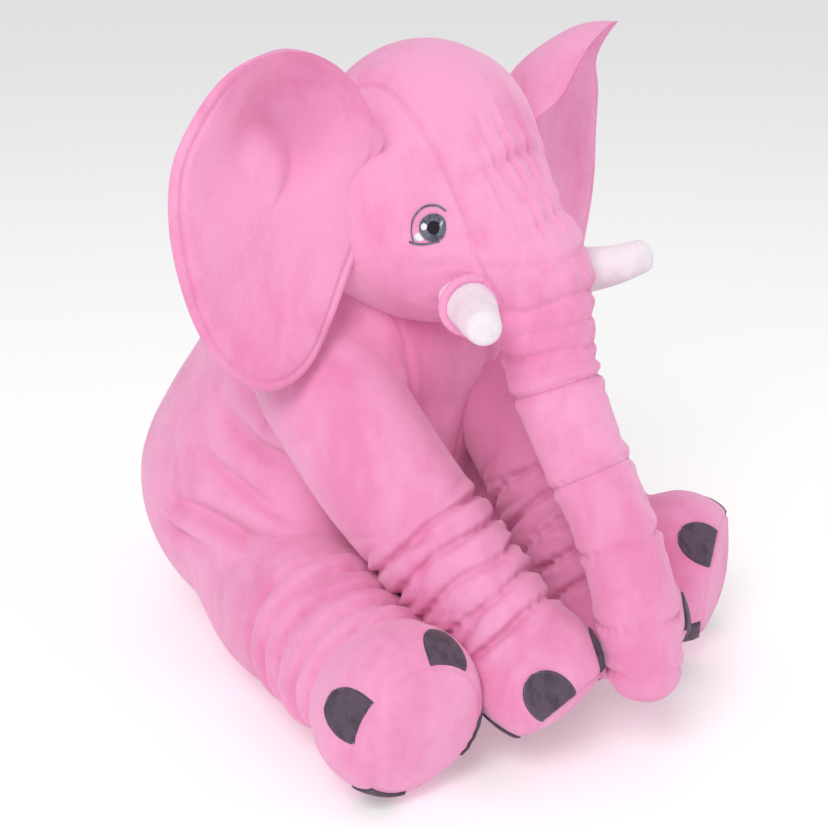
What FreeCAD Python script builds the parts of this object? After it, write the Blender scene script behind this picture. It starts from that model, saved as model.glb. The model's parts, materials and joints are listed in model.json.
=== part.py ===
import FreeCAD, Part
import math
import os
import sys

import Sketcher

# Stuffed elephant, sitting, about 0.62 m high.
#
# Frame: +Z up, the elephant faces -Y and its left side is +X. The origin is the centre of the flat
# patch that it sits on. Every cover is a thin fabric shell and every filling is the wadding in it.
# Limbs and trunk parts are turned about their own axes, with the joint at the local origin.

V = FreeCAD.Vector

# alias, millimetres, what it is
SIZES = [
    ("cover_wall", 2.5, "pile fabric with its backing"),
    ("wadding_inset", 5.5, "outer face to wadding, with room for the elastic"),
    ("play", 1.5, "clearance in every sewn joint"),
    ("snug", 0.5, "clearance between a cover and what fills it"),
    ("rump_radius", 172, "round of the rump"),
    ("rump_height", 155, "rump centre above the floor"),
    ("chest_radius", 115, "round of the chest"),
    ("chest_front", 70, "chest centre ahead of the rump"),
    ("chest_height", 315, "chest centre above the floor"),
    ("belly_width", 60, "belly panel"),
    ("belly_back", 70, "belly panel's lower end ahead of the rump"),
    ("jaw_radius", 108, "round of the cheeks, centred on the neck joint"),
    ("head_front", 150, "neck joint ahead of the rump"),
    ("jaw_height", 455, "neck joint above the floor"),
    ("dome_radius", 96, "round of the forehead"),
    ("dome_rise", 40, "forehead centre above the neck joint"),
    ("muzzle_radius", 66, "round of the muzzle"),
    ("muzzle_front", 100, "muzzle centre ahead of the neck joint"),
    ("muzzle_drop", 35, "muzzle centre below the neck joint"),
    ("snout_step", 6, "snout slimmer than the jaw where it leaves it"),
    ("gusset_width", 84, "forehead panel"),
    ("gusset_back", 60, "forehead panel's end behind the neck joint"),
    ("chin_width", 60, "chin panel"),
    ("chin_top", 20, "chin panel below the muzzle centre"),
    ("side_round", 400, "easy curve between two rounds"),
    ("eye_radius", 14, "embroidered eye"),
    ("eye_rise", 1.5, "how far the eye stands proud"),
    ("eye_depth", 20, "eye punch, each way from the cheek"),
    ("tusk_radius", 23, "tusk at its root"),
    ("tusk_end_radius", 13, "tusk at its tip"),
    ("tusk_length", 98, "from its buried end to the tip's round"),
    ("tusk_wall", 1.5, "velour of the tusk"),
    ("collar_radius", 25, "ring that the tusk is sewn into"),
    ("collar_cord", 4, "half thickness of that ring"),
    ("collar_seat", 17, "that ring from the tusk's buried end"),
    ("ear_thickness", 18, "padded ear"),
    ("ear_root_x", 120, "ear joint from the middle plane"),
    ("ear_root_height", 480, "middle of the ear joint above the floor"),
    ("ear_root_length", 110, "sewn edge of the ear"),
    ("ear_top", 145, "ear above the middle of its joint"),
    ("ear_drop", 150, "ear below the middle of its joint"),
    ("ear_reach", 148, "ear outwards from its joint"),
    ("trunk_radius", 36, "trunk outside"),
    ("trunk_taper", 1, "each open trunk part smaller at its end"),
    ("trunk_ball", 27, "round on which the next trunk part turns"),
    ("trunk_root_ball", 39, "round in the muzzle"),
    ("trunk_rim", 4.5, "open length below each trunk joint"),
    ("trunk_back_off", 20, "open length above each trunk joint"),
    ("trunk_tip_radius", 31, "round of the trunk's end"),
    ("front_ball", 60, "shoulder round"),
    ("front_first_ring", 150, "first elastic from the shoulder joint"),
    ("front_ring_step", 27, "between elastics"),
    ("front_ring_radius", 53, "first elastic line"),
    ("front_sole_at", 335, "sole seam from the shoulder joint"),
    ("front_sole_radius", 45, "sole seam"),
    ("front_foot_round", 104, "side of the foot"),
    ("hind_ball", 80, "hip round"),
    ("hind_first_ring", 78, "first elastic from the hip joint"),
    ("hind_ring_step", 24, "between elastics"),
    ("hind_ring_radius", 71, "first elastic line"),
    ("hind_sole_at", 245, "sole seam from the hip joint"),
    ("hind_sole_radius", 60, "sole seam"),
    ("hind_foot_round", 104, "side of the foot"),
    ("ring_taper", 1.5, "each elastic line smaller than the last"),
    ("ring_round", 34, "bulge between two elastics"),
    ("elastic_radius", 0.7, "gathering elastic, half thickness"),
    ("sole_dome", 8, "swell of the sole"),
    ("nail_size", 22, "toenail patch, half width"),
    ("nail_wall", 1.5, "toenail felt"),
    ("tail_ball", 15, "tail root round"),
    ("tail_play", 4.5, "clearance round the tail's root"),
    ("tail_radius", 11, "tail"),
    ("tail_length", 85, "tail from its joint"),
    ("tuft_radius", 17, "tuft at the tail's end"),
]

# name, and millimetres to the left, backwards and up from the origin
SPOTS = [
    ("shoulder", 100, -134, 296),
    ("front_foot", 62, -350, 85),
    ("hip", 112, -94, 85),
    ("hind_foot", 187, -284, 76),
    ("trunk_root", 0, -288, 388),
    ("trunk_bend", 0, -328, 285),
    ("trunk_curl", 0, -377, 207),
    ("trunk_end", 0, -412, 98),
    ("eye_spot", 70, -230, 457),
    ("tusk_root", 50, -247, 397),
    ("tail_root", 0, 168, 120),
]

RIM_ANGLE = 30.0                    # a limb's cover starts this far behind its joint plane, degrees
TOP_ANGLE = 25.0                    # a limb leaves its root round this far ahead of it, degrees
RING_COUNT = 4                      # gathered rings on each leg
NAILS_PER_FOOT = 4
NAIL_SEAT = 0.8                     # a nail's centre above the sole seam, as a share of its half width
HIP_TURNS = (0.0, 12.0, 24.0)       # poses of the thigh that the rump leaves room for, degrees
SHOULDER_TURNS = (0.0, 15.0, 30.0)  # poses of the front leg that the chest leaves room for, degrees
SHOULDER_AXIS = V(-0.8127, -0.3276, 0.4818)  # axis that the left front leg swings about
FAR = 700.0                         # beyond every part
TRUNK_TURNS = (0.0, 15.0, 30.0)     # poses of the trunk that the muzzle leaves room for, degrees
EYE_FACING = V(0.84, -0.5, 0.2)
TUSK_AIM = V(0.54, -0.83, 0.11)
TAIL_AIM = V(0, 0.6, -0.8)
EAR_SWEEP = 18.0                    # the ear trails backwards, degrees
EAR_OUTLINE = [                     # shares of the reach and of the top or drop, then the next arc
    (0.00, 0.42, 90.0),
    (0.42, 0.98, 70.0),
    (0.92, 0.72, 160.0),
    (1.00, -0.10, 220.0),
    (0.62, -1.00, 45.0),
    (0.30, -0.93, 200.0),
    (0.00, -0.42, None),
]
TRUNK_ELASTICS = {                  # shares of each part's length, from its joint
    "trunk_upper": (0.36, 0.64),
    "trunk_middle": (0.3, 0.6),
    "trunk_tip": (0.4, 0.78),
}

doc = FreeCAD.newDocument("StuffedElephant")
sheet = doc.addObject("Spreadsheet::Sheet", "sizes")
for row, (alias, millimetres, meaning) in enumerate(SIZES, 1):
    sheet.set(f"A{row}", meaning)
    sheet.set(f"B{row}", str(millimetres))
    sheet.setAlias(f"B{row}", alias)
for row, (place_name, *numbers) in enumerate(SPOTS, len(SIZES) + 1):
    sheet.set(f"A{row}", place_name.replace("_", " "))
    for column, letter, number in zip("BCD", "xyz", numbers):
        sheet.set(f"{column}{row}", str(number))
        sheet.setAlias(f"{column}{row}", f"{place_name}_{letter}")
doc.recompute()


class Size:
    """A length that keeps its number and the sheet expression behind it together."""

    def __init__(self, value, text):
        self.value = float(value)
        self.text = text

    @staticmethod
    def of(thing):
        """Return thing as a Size, whether it is one already or a plain number."""
        return thing if isinstance(thing, Size) else Size(thing, repr(float(thing)))

    def __add__(self, other):
        other = Size.of(other)
        return Size(self.value + other.value, f"({self.text} + {other.text})")

    def __sub__(self, other):
        other = Size.of(other)
        return Size(self.value - other.value, f"({self.text} - {other.text})")

    def __mul__(self, factor):
        factor = Size.of(factor)
        return Size(self.value * factor.value, f"({self.text} * {factor.text})")

    def __neg__(self):
        return self * -1.0


def size(alias):
    """Return the sheet's cell of that alias as a Size."""
    return Size(sheet.get(alias), f"sizes.{alias}")


def spot(name, side=1):
    """Return a named place of the sheet, on the left side or, with side -1, on the right."""
    return V(*(float(sheet.get(f"{name}_{letter}")) * (side if letter == "x" else 1) for letter in "xyz"))


def bind(thing, **sizes):
    """Tie properties of a document object to the sheet."""
    for name, amount in sizes.items():
        thing.setExpression(name, Size.of(amount).text)


def facing(start, direction):
    """Return the placement that puts a part's own +Z along direction, at start."""
    return FreeCAD.Placement(start, FreeCAD.Rotation(V(0, 0, 1), direction))


def on_side(direction, side):
    """Return a left-side direction turned to the side given as +1 for left or -1 for right."""
    return V(direction.x * side, direction.y, direction.z).normalize()


def plane_of(body, role):
    """Return the body's own origin plane with that role."""
    return next(f for f in body.Origin.OriginFeatures if f.Role == role)


def arc_between(start, end, radius):
    """Return the sketch arc from start to end, bulging to the right of the way, and if it runs backwards."""
    chord = end - start
    middle = (start + end) * 0.5
    left = V(-chord.y, chord.x, 0).normalize()
    reach = math.sqrt(max(radius ** 2 - (chord.Length / 2) ** 2, 0.0))
    centre = middle + left * reach
    first = math.atan2(start.y - centre.y, start.x - centre.x)
    last = math.atan2(end.y - centre.y, end.x - centre.x)
    return Part.ArcOfCircle(Part.Circle(centre, V(0, 0, 1), radius), first, last)


def closed_sketch(body, name, role, steps):
    """Draw a closed outline on one of the body's planes.

    steps is a list of (across, up, round): each point, and the radius of the arc to the next one,
    or None for a straight line. A negative radius bulges to the left of the way.
    """
    sketch = body.newObject("Sketcher::SketchObject", name)
    sketch.AttachmentSupport = [(plane_of(body, role), "")]
    sketch.MapMode = "FlatFace"
    points = [(Size.of(across), Size.of(up), bend) for across, up, bend in steps]
    ends = []
    for index, (across, up, bend) in enumerate(points):
        after = points[(index + 1) % len(points)]
        start = V(across.value, up.value, 0)
        end = V(after[0].value, after[1].value, 0)
        if bend is None:
            sketch.addGeometry(Part.LineSegment(start, end), False)
            ends.append((1, 2))
            continue
        bend = Size.of(bend)
        if bend.value > 0:
            sketch.addGeometry(arc_between(start, end, bend.value), False)
            ends.append((1, 2))
        else:
            sketch.addGeometry(arc_between(end, start, -bend.value), False)
            ends.append((2, 1))
    for index, (across, up, bend) in enumerate(points):
        begin = ends[index][0]
        before = (index - 1) % len(points)
        sketch.addConstraint(Sketcher.Constraint("Coincident", before, ends[before][1], index, begin))
        for kind, amount in (("DistanceX", across), ("DistanceY", up)):
            if abs(amount.value) < 1e-9:
                axis = -2 if kind == "DistanceX" else -1
                sketch.addConstraint(Sketcher.Constraint("PointOnObject", index, begin, axis))
                continue
            number = sketch.addConstraint(Sketcher.Constraint(kind, -1, 1, index, begin, amount.value))
            sketch.setExpression(f"Constraints[{number}]", amount.text)
        if bend is not None:
            amount = Size.of(bend)
            amount = amount if amount.value > 0 else -amount
            number = sketch.addConstraint(Sketcher.Constraint("Radius", index, amount.value))
            sketch.setExpression(f"Constraints[{number}]", amount.text)
    return sketch


def turned(label, steps, place=None):
    """Make a body by turning an outline of (radius, height, round) about its own Z axis."""
    body = doc.addObject("PartDesign::Body", label)
    sketch = closed_sketch(body, f"{label}_outline", "XZ_Plane", steps)
    turn = body.newObject("PartDesign::Revolution", f"{label}_turn")
    turn.Profile = sketch
    turn.ReferenceAxis = (sketch, ["V_Axis"])
    turn.Angle = 360
    if place is not None:
        body.Placement = place
    return body


def ball(label, radius, centre):
    """Make a sphere."""
    sphere = doc.addObject("Part::Sphere", label)
    bind(sphere, Radius=radius)
    sphere.Placement.Base = centre
    return sphere


def rod(label, radius, length, place):
    """Make a cylinder that starts at place and runs along its Z axis."""
    cylinder = doc.addObject("Part::Cylinder", label)
    bind(cylinder, Radius=radius, Height=length)
    cylinder.Placement = place
    return cylinder


def block(label, low, high):
    """Make a box between two corners."""
    box = doc.addObject("Part::Box", label)
    bind(box, Length=high.x - low.x, Width=high.y - low.y, Height=high.z - low.z)
    box.Placement.Base = low
    return box


def cut(label, base, tool):
    """Take tool away from base."""
    result = doc.addObject("Part::Cut", label)
    result.Base = base
    result.Tool = tool
    return result


def common(label, base, tool):
    """Keep what base and tool share."""
    result = doc.addObject("Part::Common", label)
    result.Base = base
    result.Tool = tool
    return result


def joined(label, shapes):
    """Fuse several shapes into one."""
    result = doc.addObject("Part::MultiFuse", label)
    result.Shapes = shapes
    return result


def group(label, shapes):
    """Keep several separate solids in one sub-part."""
    result = doc.addObject("Part::Compound", label)
    result.Links = shapes
    return result


def egg(label, big, small, spacing, place, inset=0.0):
    """Turn an egg: a big round at the local origin, and a small one spacing along Z."""
    big = big - inset
    small = small - inset
    steps = [
        (0, -big, big),
        (big, 0, size("side_round")),
        (small, spacing, small),
        (0, small + spacing, None),
    ]
    return turned(label, steps, place)


def aimed(start, end):
    """Return the placement at start that looks towards end."""
    return facing(start, end - start)


def elastic(label, radius, along, place):
    """Make one ring of gathering elastic, round the local Z axis."""
    ring = doc.addObject("Part::Torus", label)
    bind(ring, Radius1=radius, Radius2=size("elastic_radius"))
    ring.Placement = FreeCAD.Placement(place.multVec(V(0, 0, along)), place.Rotation)
    return ring


kept = []


def keep(*parts):
    """Mark finished sub-parts for export."""
    kept.extend(parts)
    return parts[0]


# ---------------------------------------------------------------- torso

RUMP = V(0, 0, size("rump_height").value)
CHEST = V(0, -size("chest_front").value, size("chest_height").value)
NECK = V(0, -size("head_front").value, size("jaw_height").value)
SPINE = (CHEST - RUMP).Length


def torso_solid(label, inset):
    """Make the torso's solid, inset from its outer face, flat where it sits."""
    rounds = egg(
        f"{label}_rounds", size("rump_radius"), size("chest_radius"), SPINE, aimed(RUMP, CHEST), inset
    )
    under = block(f"{label}_under", V(-FAR, -FAR, -FAR), V(FAR, FAR, Size.of(inset).value))
    return cut(label, rounds, under)


def limb_room(label, side, margin):
    """Make what a shoulder and a hip take out of the torso on one side."""
    clear = size("play") + margin
    swing = V(SHOULDER_AXIS.x, SHOULDER_AXIS.y * side, SHOULDER_AXIS.z * side)
    shapes = []
    for kind, root, foot, axis, turns in (
        ("front", "shoulder", "front_foot", swing, SHOULDER_TURNS),
        ("hind", "hip", "hind_foot", V(0, 0, side), HIP_TURNS),
    ):
        radius = size(f"{kind}_ball") + clear
        shapes.append(ball(f"{label}_{kind}", radius, spot(root, side)))
        straight = spot(foot, side) - spot(root, side)
        for number, angle in enumerate(turns):
            place = facing(spot(root, side), FreeCAD.Rotation(axis, angle).multVec(straight))
            way = radius - size("snug")
            shapes.append(rod(f"{label}_{kind}_{number}", way, size(f"{kind}_sole_at"), place))
    return shapes


def torso_room(label, margin):
    """Make everything that is taken out of the torso: limbs, neck and tail."""
    clear = size("play") + margin
    shapes = limb_room(f"{label}_left", 1, margin) + limb_room(f"{label}_right", -1, margin)
    shapes.append(ball(f"{label}_neck", size("jaw_radius") + clear, NECK))
    shapes.append(ball(f"{label}_tail", size("tail_ball") + size("tail_play") + margin, spot("tail_root")))
    return joined(label, shapes)


room = torso_room("torso_room", 0.0)
torso_outside = torso_solid("torso_outside", 0.0)
torso_shell = cut("torso_shell", torso_outside, torso_solid("torso_inside", size("cover_wall")))
torso_cover = cut("torso_open_shell", torso_shell, room)
half_belly = size("belly_width").value / 2
belly_end = -size("belly_back").value
belly_room = block("belly_room", V(-half_belly, -FAR, -FAR), V(half_belly, belly_end, FAR))
left_half = block("left_half", V(0, -FAR, -FAR), V(FAR, FAR, FAR))
right_half = block("right_half", V(-FAR, -FAR, -FAR), V(0, FAR, FAR))
keep(common("belly_panel", torso_cover, belly_room))
torso_sides = cut("torso_sides", torso_cover, belly_room)
keep(common("torso_cover_left", torso_sides, left_half))
keep(common("torso_cover_right", torso_sides, right_half))
keep(cut("torso_filling", torso_solid("torso_wadding", size("wadding_inset")), room))


# ---------------------------------------------------------------- head

DOME = NECK + V(0, 0, size("dome_rise").value)
MUZZLE = NECK + V(0, -size("muzzle_front").value, -size("muzzle_drop").value)


def head_solid(label, inset):
    """Make the head's solid: the cheeks with the forehead, joined with the muzzle."""
    crown = egg(
        f"{label}_crown", size("jaw_radius"), size("dome_radius"), size("dome_rise"), aimed(NECK, DOME), inset
    )
    snout = egg(
        f"{label}_snout",
        size("jaw_radius") - size("snout_step"),
        size("muzzle_radius"),
        (MUZZLE - NECK).Length,
        aimed(NECK, MUZZLE),
        inset,
    )
    return joined(label, [crown, snout])


def trunk_room(label, margin):
    """Make what the trunk's root takes out of the muzzle as it lifts."""
    clear = size("play") + margin
    radius = size("trunk_root_ball") + clear
    shapes = [ball(f"{label}_ball", radius, spot("trunk_root"))]
    for number, angle in enumerate(TRUNK_TURNS):
        aim = FreeCAD.Rotation(V(-1, 0, 0), angle).multVec(spot("trunk_bend") - spot("trunk_root"))
        way = radius - size("snug")
        shapes.append(rod(f"{label}_way_{number}", way, aim.Length, facing(spot("trunk_root"), aim)))
    return joined(label, shapes)


head_outside = head_solid("head_outside", 0.0)
muzzle_room = trunk_room("muzzle_room", 0.0)
head_shell = cut("head_shell", head_outside, head_solid("head_inside", size("cover_wall")))
head_cover = cut("head_open_shell", head_shell, muzzle_room)
half_gusset = size("gusset_width").value / 2
half_chin = size("chin_width").value / 2
gusset_end = NECK.y + size("gusset_back").value
chin_top = MUZZLE.z - size("chin_top").value
top_room = block("top_room", V(-half_gusset, -FAR, NECK.z), V(half_gusset, gusset_end, FAR))
chin_room = block("chin_room", V(-half_chin, -FAR, -FAR), V(half_chin, NECK.y, chin_top))
keep(common("forehead_gusset", head_cover, top_room))
keep(common("chin_panel", head_cover, chin_room))
cheeks = cut("cheeks", cut("cheeks_and_chin", head_cover, top_room), chin_room)
keep(common("cheek_left", cheeks, left_half))
keep(common("cheek_right", cheeks, right_half))
keep(cut("head_filling", head_solid("head_wadding", size("wadding_inset")), muzzle_room))
head_near = head_solid("head_near", -size("eye_rise"))


def eye(side, name):
    """Make one embroidered eye, standing a little proud of the cheek."""
    aim = on_side(EYE_FACING, side)
    depth = size("eye_depth")
    place = facing(spot("eye_spot", side) - aim * depth.value, aim)
    stitches = rod(f"eye_{name}_stitches", size("eye_radius"), depth * 2.0, place)
    return cut(f"eye_{name}", common(f"eye_{name}_patch", stitches, head_near), head_outside)


def tusk(side, name):
    """Make one tusk: its cover, its filling and the collar that it is sewn into."""
    place = facing(spot("tusk_root", side), on_side(TUSK_AIM, side))
    root = size("tusk_radius")
    tip = size("tusk_end_radius")
    length = size("tusk_length")
    wall = size("tusk_wall")
    inner_root = root - wall
    inner_tip = tip - wall
    outline = [
        (inner_root, 0, None),
        (root, 0, size("side_round")),
        (tip, length, tip),
        (0, length + tip, None),
        (0, length + inner_tip, -inner_tip),
        (inner_tip, length, -size("side_round")),
    ]
    cover = turned(f"tusk_{name}_skin", outline, place)
    core_root = inner_root - size("snug")
    core_tip = inner_tip - size("snug")
    core_outline = [
        (0, 0, None),
        (core_root, 0, size("side_round")),
        (core_tip, length, core_tip),
        (0, length + core_tip, None),
    ]
    core = turned(f"tusk_{name}_core", core_outline, place)
    ring = doc.addObject("Part::Torus", f"tusk_{name}_ring")
    bind(ring, Radius1=size("collar_radius") + size("collar_cord"), Radius2=size("collar_cord"))
    seat = V(0, 0, size("collar_seat").value)
    ring.Placement = FreeCAD.Placement(place.multVec(seat), place.Rotation)
    keep(cut(f"tusk_cover_{name}", cover, head_outside))
    keep(cut(f"tusk_filling_{name}", core, head_near))
    keep(cut(f"tusk_collar_{name}", ring, head_outside))


def ear(side, name):
    """Make one padded ear: a front and a back panel, with the padding and its rolled root."""
    reach = size("ear_reach")
    outline = []
    for across, up, bend in EAR_OUTLINE:
        height = size("ear_top") if up > 0 else size("ear_drop")
        outline.append((reach * (across * side), height * up, bend and bend * -side))
    base = V(size("ear_root_x").value * side, NECK.y, size("ear_root_height").value)
    turn = FreeCAD.Rotation(V(0, 0, 1), EAR_SWEEP * side)
    place = FreeCAD.Placement(base, turn)
    wall = size("cover_wall")
    half = size("ear_thickness") * 0.5
    core_half = half - wall - size("snug")

    def layer(label, front, depth):
        """Pad the ear's outline from front, backwards by depth."""
        body = doc.addObject("PartDesign::Body", label)
        sketch = closed_sketch(body, f"{label}_outline", "XZ_Plane", outline)
        pad = body.newObject("PartDesign::Pad", f"{label}_pad")
        pad.Profile = sketch
        pad.Reversed = True
        pad.setExpression("Length", Size.of(depth).text)
        body.Placement = place.multiply(FreeCAD.Placement(V(0, front.value, 0), FreeCAD.Rotation()))
        return body

    root_length = size("ear_root_length")
    root_place = FreeCAD.Placement(base - V(0, 0, root_length.value / 2), turn)
    bead = rod(f"ear_{name}_root", core_half, root_length, root_place)
    padding = layer(f"ear_{name}_wadding", -core_half, core_half * 2.0)
    keep(layer(f"ear_front_{name}", -half, wall))
    keep(layer(f"ear_back_{name}", half - wall, wall))
    keep(joined(f"ear_padding_{name}", [padding, bead]))


for side, name in ((1, "left"), (-1, "right")):
    keep(eye(side, name))
    tusk(side, name)
    ear(side, name)


# ---------------------------------------------------------------- trunk

def trunk_part(label, start, end, root_ball, last):
    """Make one trunk part, which turns about start: its cover, its filling and its elastics.

    The first part starts as a round in the muzzle, and the others as a cup on the round before
    them. The last part ends closed, and the others end as the round that the next one turns on.
    """
    place = aimed(start, end)
    length = (end - start).Length
    radius = size("trunk_radius")
    wall = size("cover_wall")
    inset = size("wadding_inset")
    nose = size("trunk_tip_radius") if last else size("trunk_ball")
    side_end = Size.of(length) if last else Size.of(length) - size("trunk_back_off")
    end_radius = nose if last else radius - size("trunk_taper")
    if root_ball is None:
        rim = size("trunk_rim")
        hollow = size("trunk_ball") + size("play")
        mouth = math.sqrt(hollow.value ** 2 - rim.value ** 2)
        core = [(0, hollow, -hollow), (mouth, rim, None), (radius - inset, rim, None)]
        top = radius
    else:
        rim = size("trunk_rim")
        core = [
            (0, -root_ball, root_ball),
            (root_ball, 0, None),
            (root_ball - inset, 0, None),
            (radius - inset, root_ball, None),
        ]
        top = root_ball
    if last:
        cover = [
            (top, rim, None),
            (nose, side_end, nose),
            (0, side_end + nose, None),
            (0, side_end + nose - wall, -(nose - wall)),
            (nose - wall, side_end, None),
            (top - wall, rim, None),
        ]
        core += [(nose - inset, side_end, nose - inset), (0, side_end + nose - inset, None)]
    else:
        cover = [
            (top, rim, None),
            (end_radius, side_end, None),
            (end_radius - wall, side_end, None),
            (top - wall, rim, None),
        ]
        neck = math.sqrt(nose.value ** 2 - size("trunk_back_off").value ** 2)
        core += [(end_radius - inset, side_end, None), (neck, side_end, nose), (0, nose + length, None)]
    keep(turned(f"{label}_cover", cover, place))
    keep(turned(f"{label}_filling", core, place))
    rings = []
    for number, share in enumerate(TRUNK_ELASTICS[label]):
        along = side_end.value * share
        line = top + (end_radius - top) * share - wall - size("elastic_radius") - size("snug")
        rings.append(elastic(f"{label}_elastic_{number}", line, along, place))
    keep(group(f"{label}_elastics", rings))


trunk_part("trunk_upper", spot("trunk_root"), spot("trunk_bend"), size("trunk_root_ball"), False)
trunk_part("trunk_middle", spot("trunk_bend"), spot("trunk_curl"), None, False)
trunk_part("trunk_tip", spot("trunk_curl"), spot("trunk_end"), None, True)


# ---------------------------------------------------------------- legs

def leg_outline(kind, inset):
    """Return a leg's side from its root round to its sole, inset from the outer face."""
    root = size(f"{kind}_ball") - inset
    leave = math.radians(TOP_ANGLE)
    steps = [(root * math.cos(leave), root * math.sin(leave), size("side_round"))]
    for number in range(RING_COUNT + 1):
        radius = size(f"{kind}_ring_radius") - size("ring_taper") * number - inset
        along = size(f"{kind}_first_ring") + size(f"{kind}_ring_step") * number
        last = number == RING_COUNT
        steps.append((radius, along, size(f"{kind}_foot_round") if last else size("ring_round")))
    steps.append((size(f"{kind}_sole_radius") - inset, size(f"{kind}_sole_at"), None))
    return root, steps


def backwards(steps):
    """Return open steps in the other direction, with their arcs turned over."""
    turned_over = []
    for index in range(len(steps) - 1, -1, -1):
        bend = steps[index - 1][2] if index > 0 else None
        turned_over.append((steps[index][0], steps[index][1], None if bend is None else -bend))
    return turned_over


def leg(kind, side, name, start, foot):
    """Make one leg: cover, filling, elastics, sole and toenails."""
    label = f"{kind}_leg_{name}"
    place = aimed(spot(start, side), spot(foot, side))
    wall = size("cover_wall")
    behind = math.radians(RIM_ANGLE)
    ball_out, outside = leg_outline(kind, 0.0)
    ball_in, inside = leg_outline(kind, wall)
    rim_out = (ball_out * math.cos(behind), ball_out * -math.sin(behind), ball_out)
    rim_in = (ball_in * math.cos(behind), ball_in * -math.sin(behind), ball_in)
    keep(turned(f"{label}_cover", [rim_out] + outside + backwards([rim_in] + inside), place))
    ball_core, core = leg_outline(kind, size("wadding_inset"))
    end = size(f"{kind}_sole_at")
    keep(turned(f"{label}_filling", [(0, -ball_core, ball_core)] + core + [(0, end, None)], place))
    rings = []
    for number in range(RING_COUNT + 1):
        line = size(f"{kind}_ring_radius") - size("ring_taper") * number
        along = size(f"{kind}_first_ring").value + size(f"{kind}_ring_step").value * number
        radius = line - wall - size("elastic_radius") - size("snug")
        rings.append(elastic(f"{label}_elastic_{number}", radius, along, place))
    keep(group(f"{label}_elastics", rings))
    sole = size(f"{kind}_sole_radius")
    dome = size("sole_dome")
    swell = (sole.value ** 2 + dome.value ** 2) / (2 * dome.value)
    keep(turned(f"{label}_sole", [(0, end, None), (sole, end, swell), (0, end + dome, None)], place))
    keep(toenails(kind, label, place))


def toenails(kind, label, place):
    """Make the felt nails: patches on the foot, cut straight along the sole's seam."""
    end = size(f"{kind}_sole_at")
    sole = size(f"{kind}_sole_radius")
    ankle = size(f"{kind}_ring_radius") - size("ring_taper") * RING_COUNT
    ankle_at = size(f"{kind}_first_ring") + size(f"{kind}_ring_step") * RING_COUNT
    bend = size(f"{kind}_foot_round")
    wall = size("nail_wall")
    band = turned(
        f"{label}_nail_band",
        [
            (ankle, ankle_at, bend),
            (sole, end, None),
            (sole + wall, end, -bend),
            (ankle + wall, ankle_at, None),
        ],
        place,
    )
    punches = []
    for number in range(NAILS_PER_FOOT):
        angle = 360.0 * (number + 0.5) / NAILS_PER_FOOT
        out = place.Rotation.multVec(FreeCAD.Rotation(V(0, 0, 1), angle).multVec(V(1, 0, 0)))
        centre = place.multVec(V(0, 0, end.value - size("nail_size").value * NAIL_SEAT))
        punches.append(rod(f"{label}_punch_{number}", size("nail_size"), sole * 2.0, facing(centre, out)))
    return common(f"{label}_toenails", band, group(f"{label}_punches", punches))


for side, name in ((1, "left"), (-1, "right")):
    leg("front", side, name, "shoulder", "front_foot")
    leg("hind", side, name, "hip", "hind_foot")


# ---------------------------------------------------------------- tail

tail_place = facing(spot("tail_root"), TAIL_AIM)
tail_root = size("tail_ball")
tail_end = size("tail_length")
tail_side = size("tail_radius")
tuft = size("tuft_radius")
keep(
    turned(
        "tail_cord",
        [
            (0, -tail_root, tail_root),
            (tail_root, 0, None),
            (tail_side, tail_root, None),
            (tail_side, tail_end, None),
            (0, tail_end, None),
        ],
        tail_place,
    )
)
keep(
    turned(
        "tail_tuft",
        [
            (0, tail_end, None),
            (tail_side, tail_end, None),
            (tuft, tail_end + tuft, tuft),
            (0, tail_end + tuft * 2.0, None),
        ],
        tail_place,
    )
)


# ---------------------------------------------------------------- build, test and write

doc.recompute()
faults = []
for thing in doc.Objects:
    if "Invalid" in thing.State or "Error" in thing.State:
        faults.append(f"{thing.Label}: {thing.State}")
for part in kept:
    if part.Shape.isNull() or not part.Shape.isValid() or not part.Shape.Solids:
        faults.append(f"{part.Label}: its shape is empty or not valid")
if faults:
    sys.exit("\n".join(faults))

os.makedirs("parts", exist_ok=True)
for part in kept:
    part.Shape.exportStep(f"parts/{part.Label}.step")
    print(part.Label, len(part.Shape.Solids), round(part.Shape.Volume / 1000.0, 1))
print(len(kept), "sub-parts")
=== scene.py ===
"""Looks of a sitting stuffed elephant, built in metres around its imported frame."""

import json
import logging
import math
from collections.abc import Callable
from dataclasses import dataclass
from enum import Enum

import bmesh
import bpy
import numpy as np
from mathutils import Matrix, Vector
from mathutils.bvhtree import BVHTree


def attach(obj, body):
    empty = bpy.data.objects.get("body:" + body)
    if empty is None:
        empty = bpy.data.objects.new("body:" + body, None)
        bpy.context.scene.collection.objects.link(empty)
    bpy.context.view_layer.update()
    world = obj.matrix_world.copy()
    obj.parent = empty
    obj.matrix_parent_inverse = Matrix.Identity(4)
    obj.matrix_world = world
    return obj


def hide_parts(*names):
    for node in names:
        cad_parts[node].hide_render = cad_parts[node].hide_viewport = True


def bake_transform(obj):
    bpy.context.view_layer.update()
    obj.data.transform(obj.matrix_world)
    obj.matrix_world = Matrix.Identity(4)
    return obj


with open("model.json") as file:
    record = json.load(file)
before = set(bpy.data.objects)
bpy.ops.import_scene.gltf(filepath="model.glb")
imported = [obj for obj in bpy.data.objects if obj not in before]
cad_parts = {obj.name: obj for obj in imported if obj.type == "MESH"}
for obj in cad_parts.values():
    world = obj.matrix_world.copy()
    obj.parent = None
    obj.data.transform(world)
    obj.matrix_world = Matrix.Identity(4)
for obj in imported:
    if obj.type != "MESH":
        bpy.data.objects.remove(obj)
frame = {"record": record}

LOG = logging.getLogger("stuffed_elephant")
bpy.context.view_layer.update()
JOINTS = {joint["name"]: np.array(joint["pos_m"]) for joint in frame["record"]["behaviour"]["joints"]}
MM = 0.001

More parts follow.
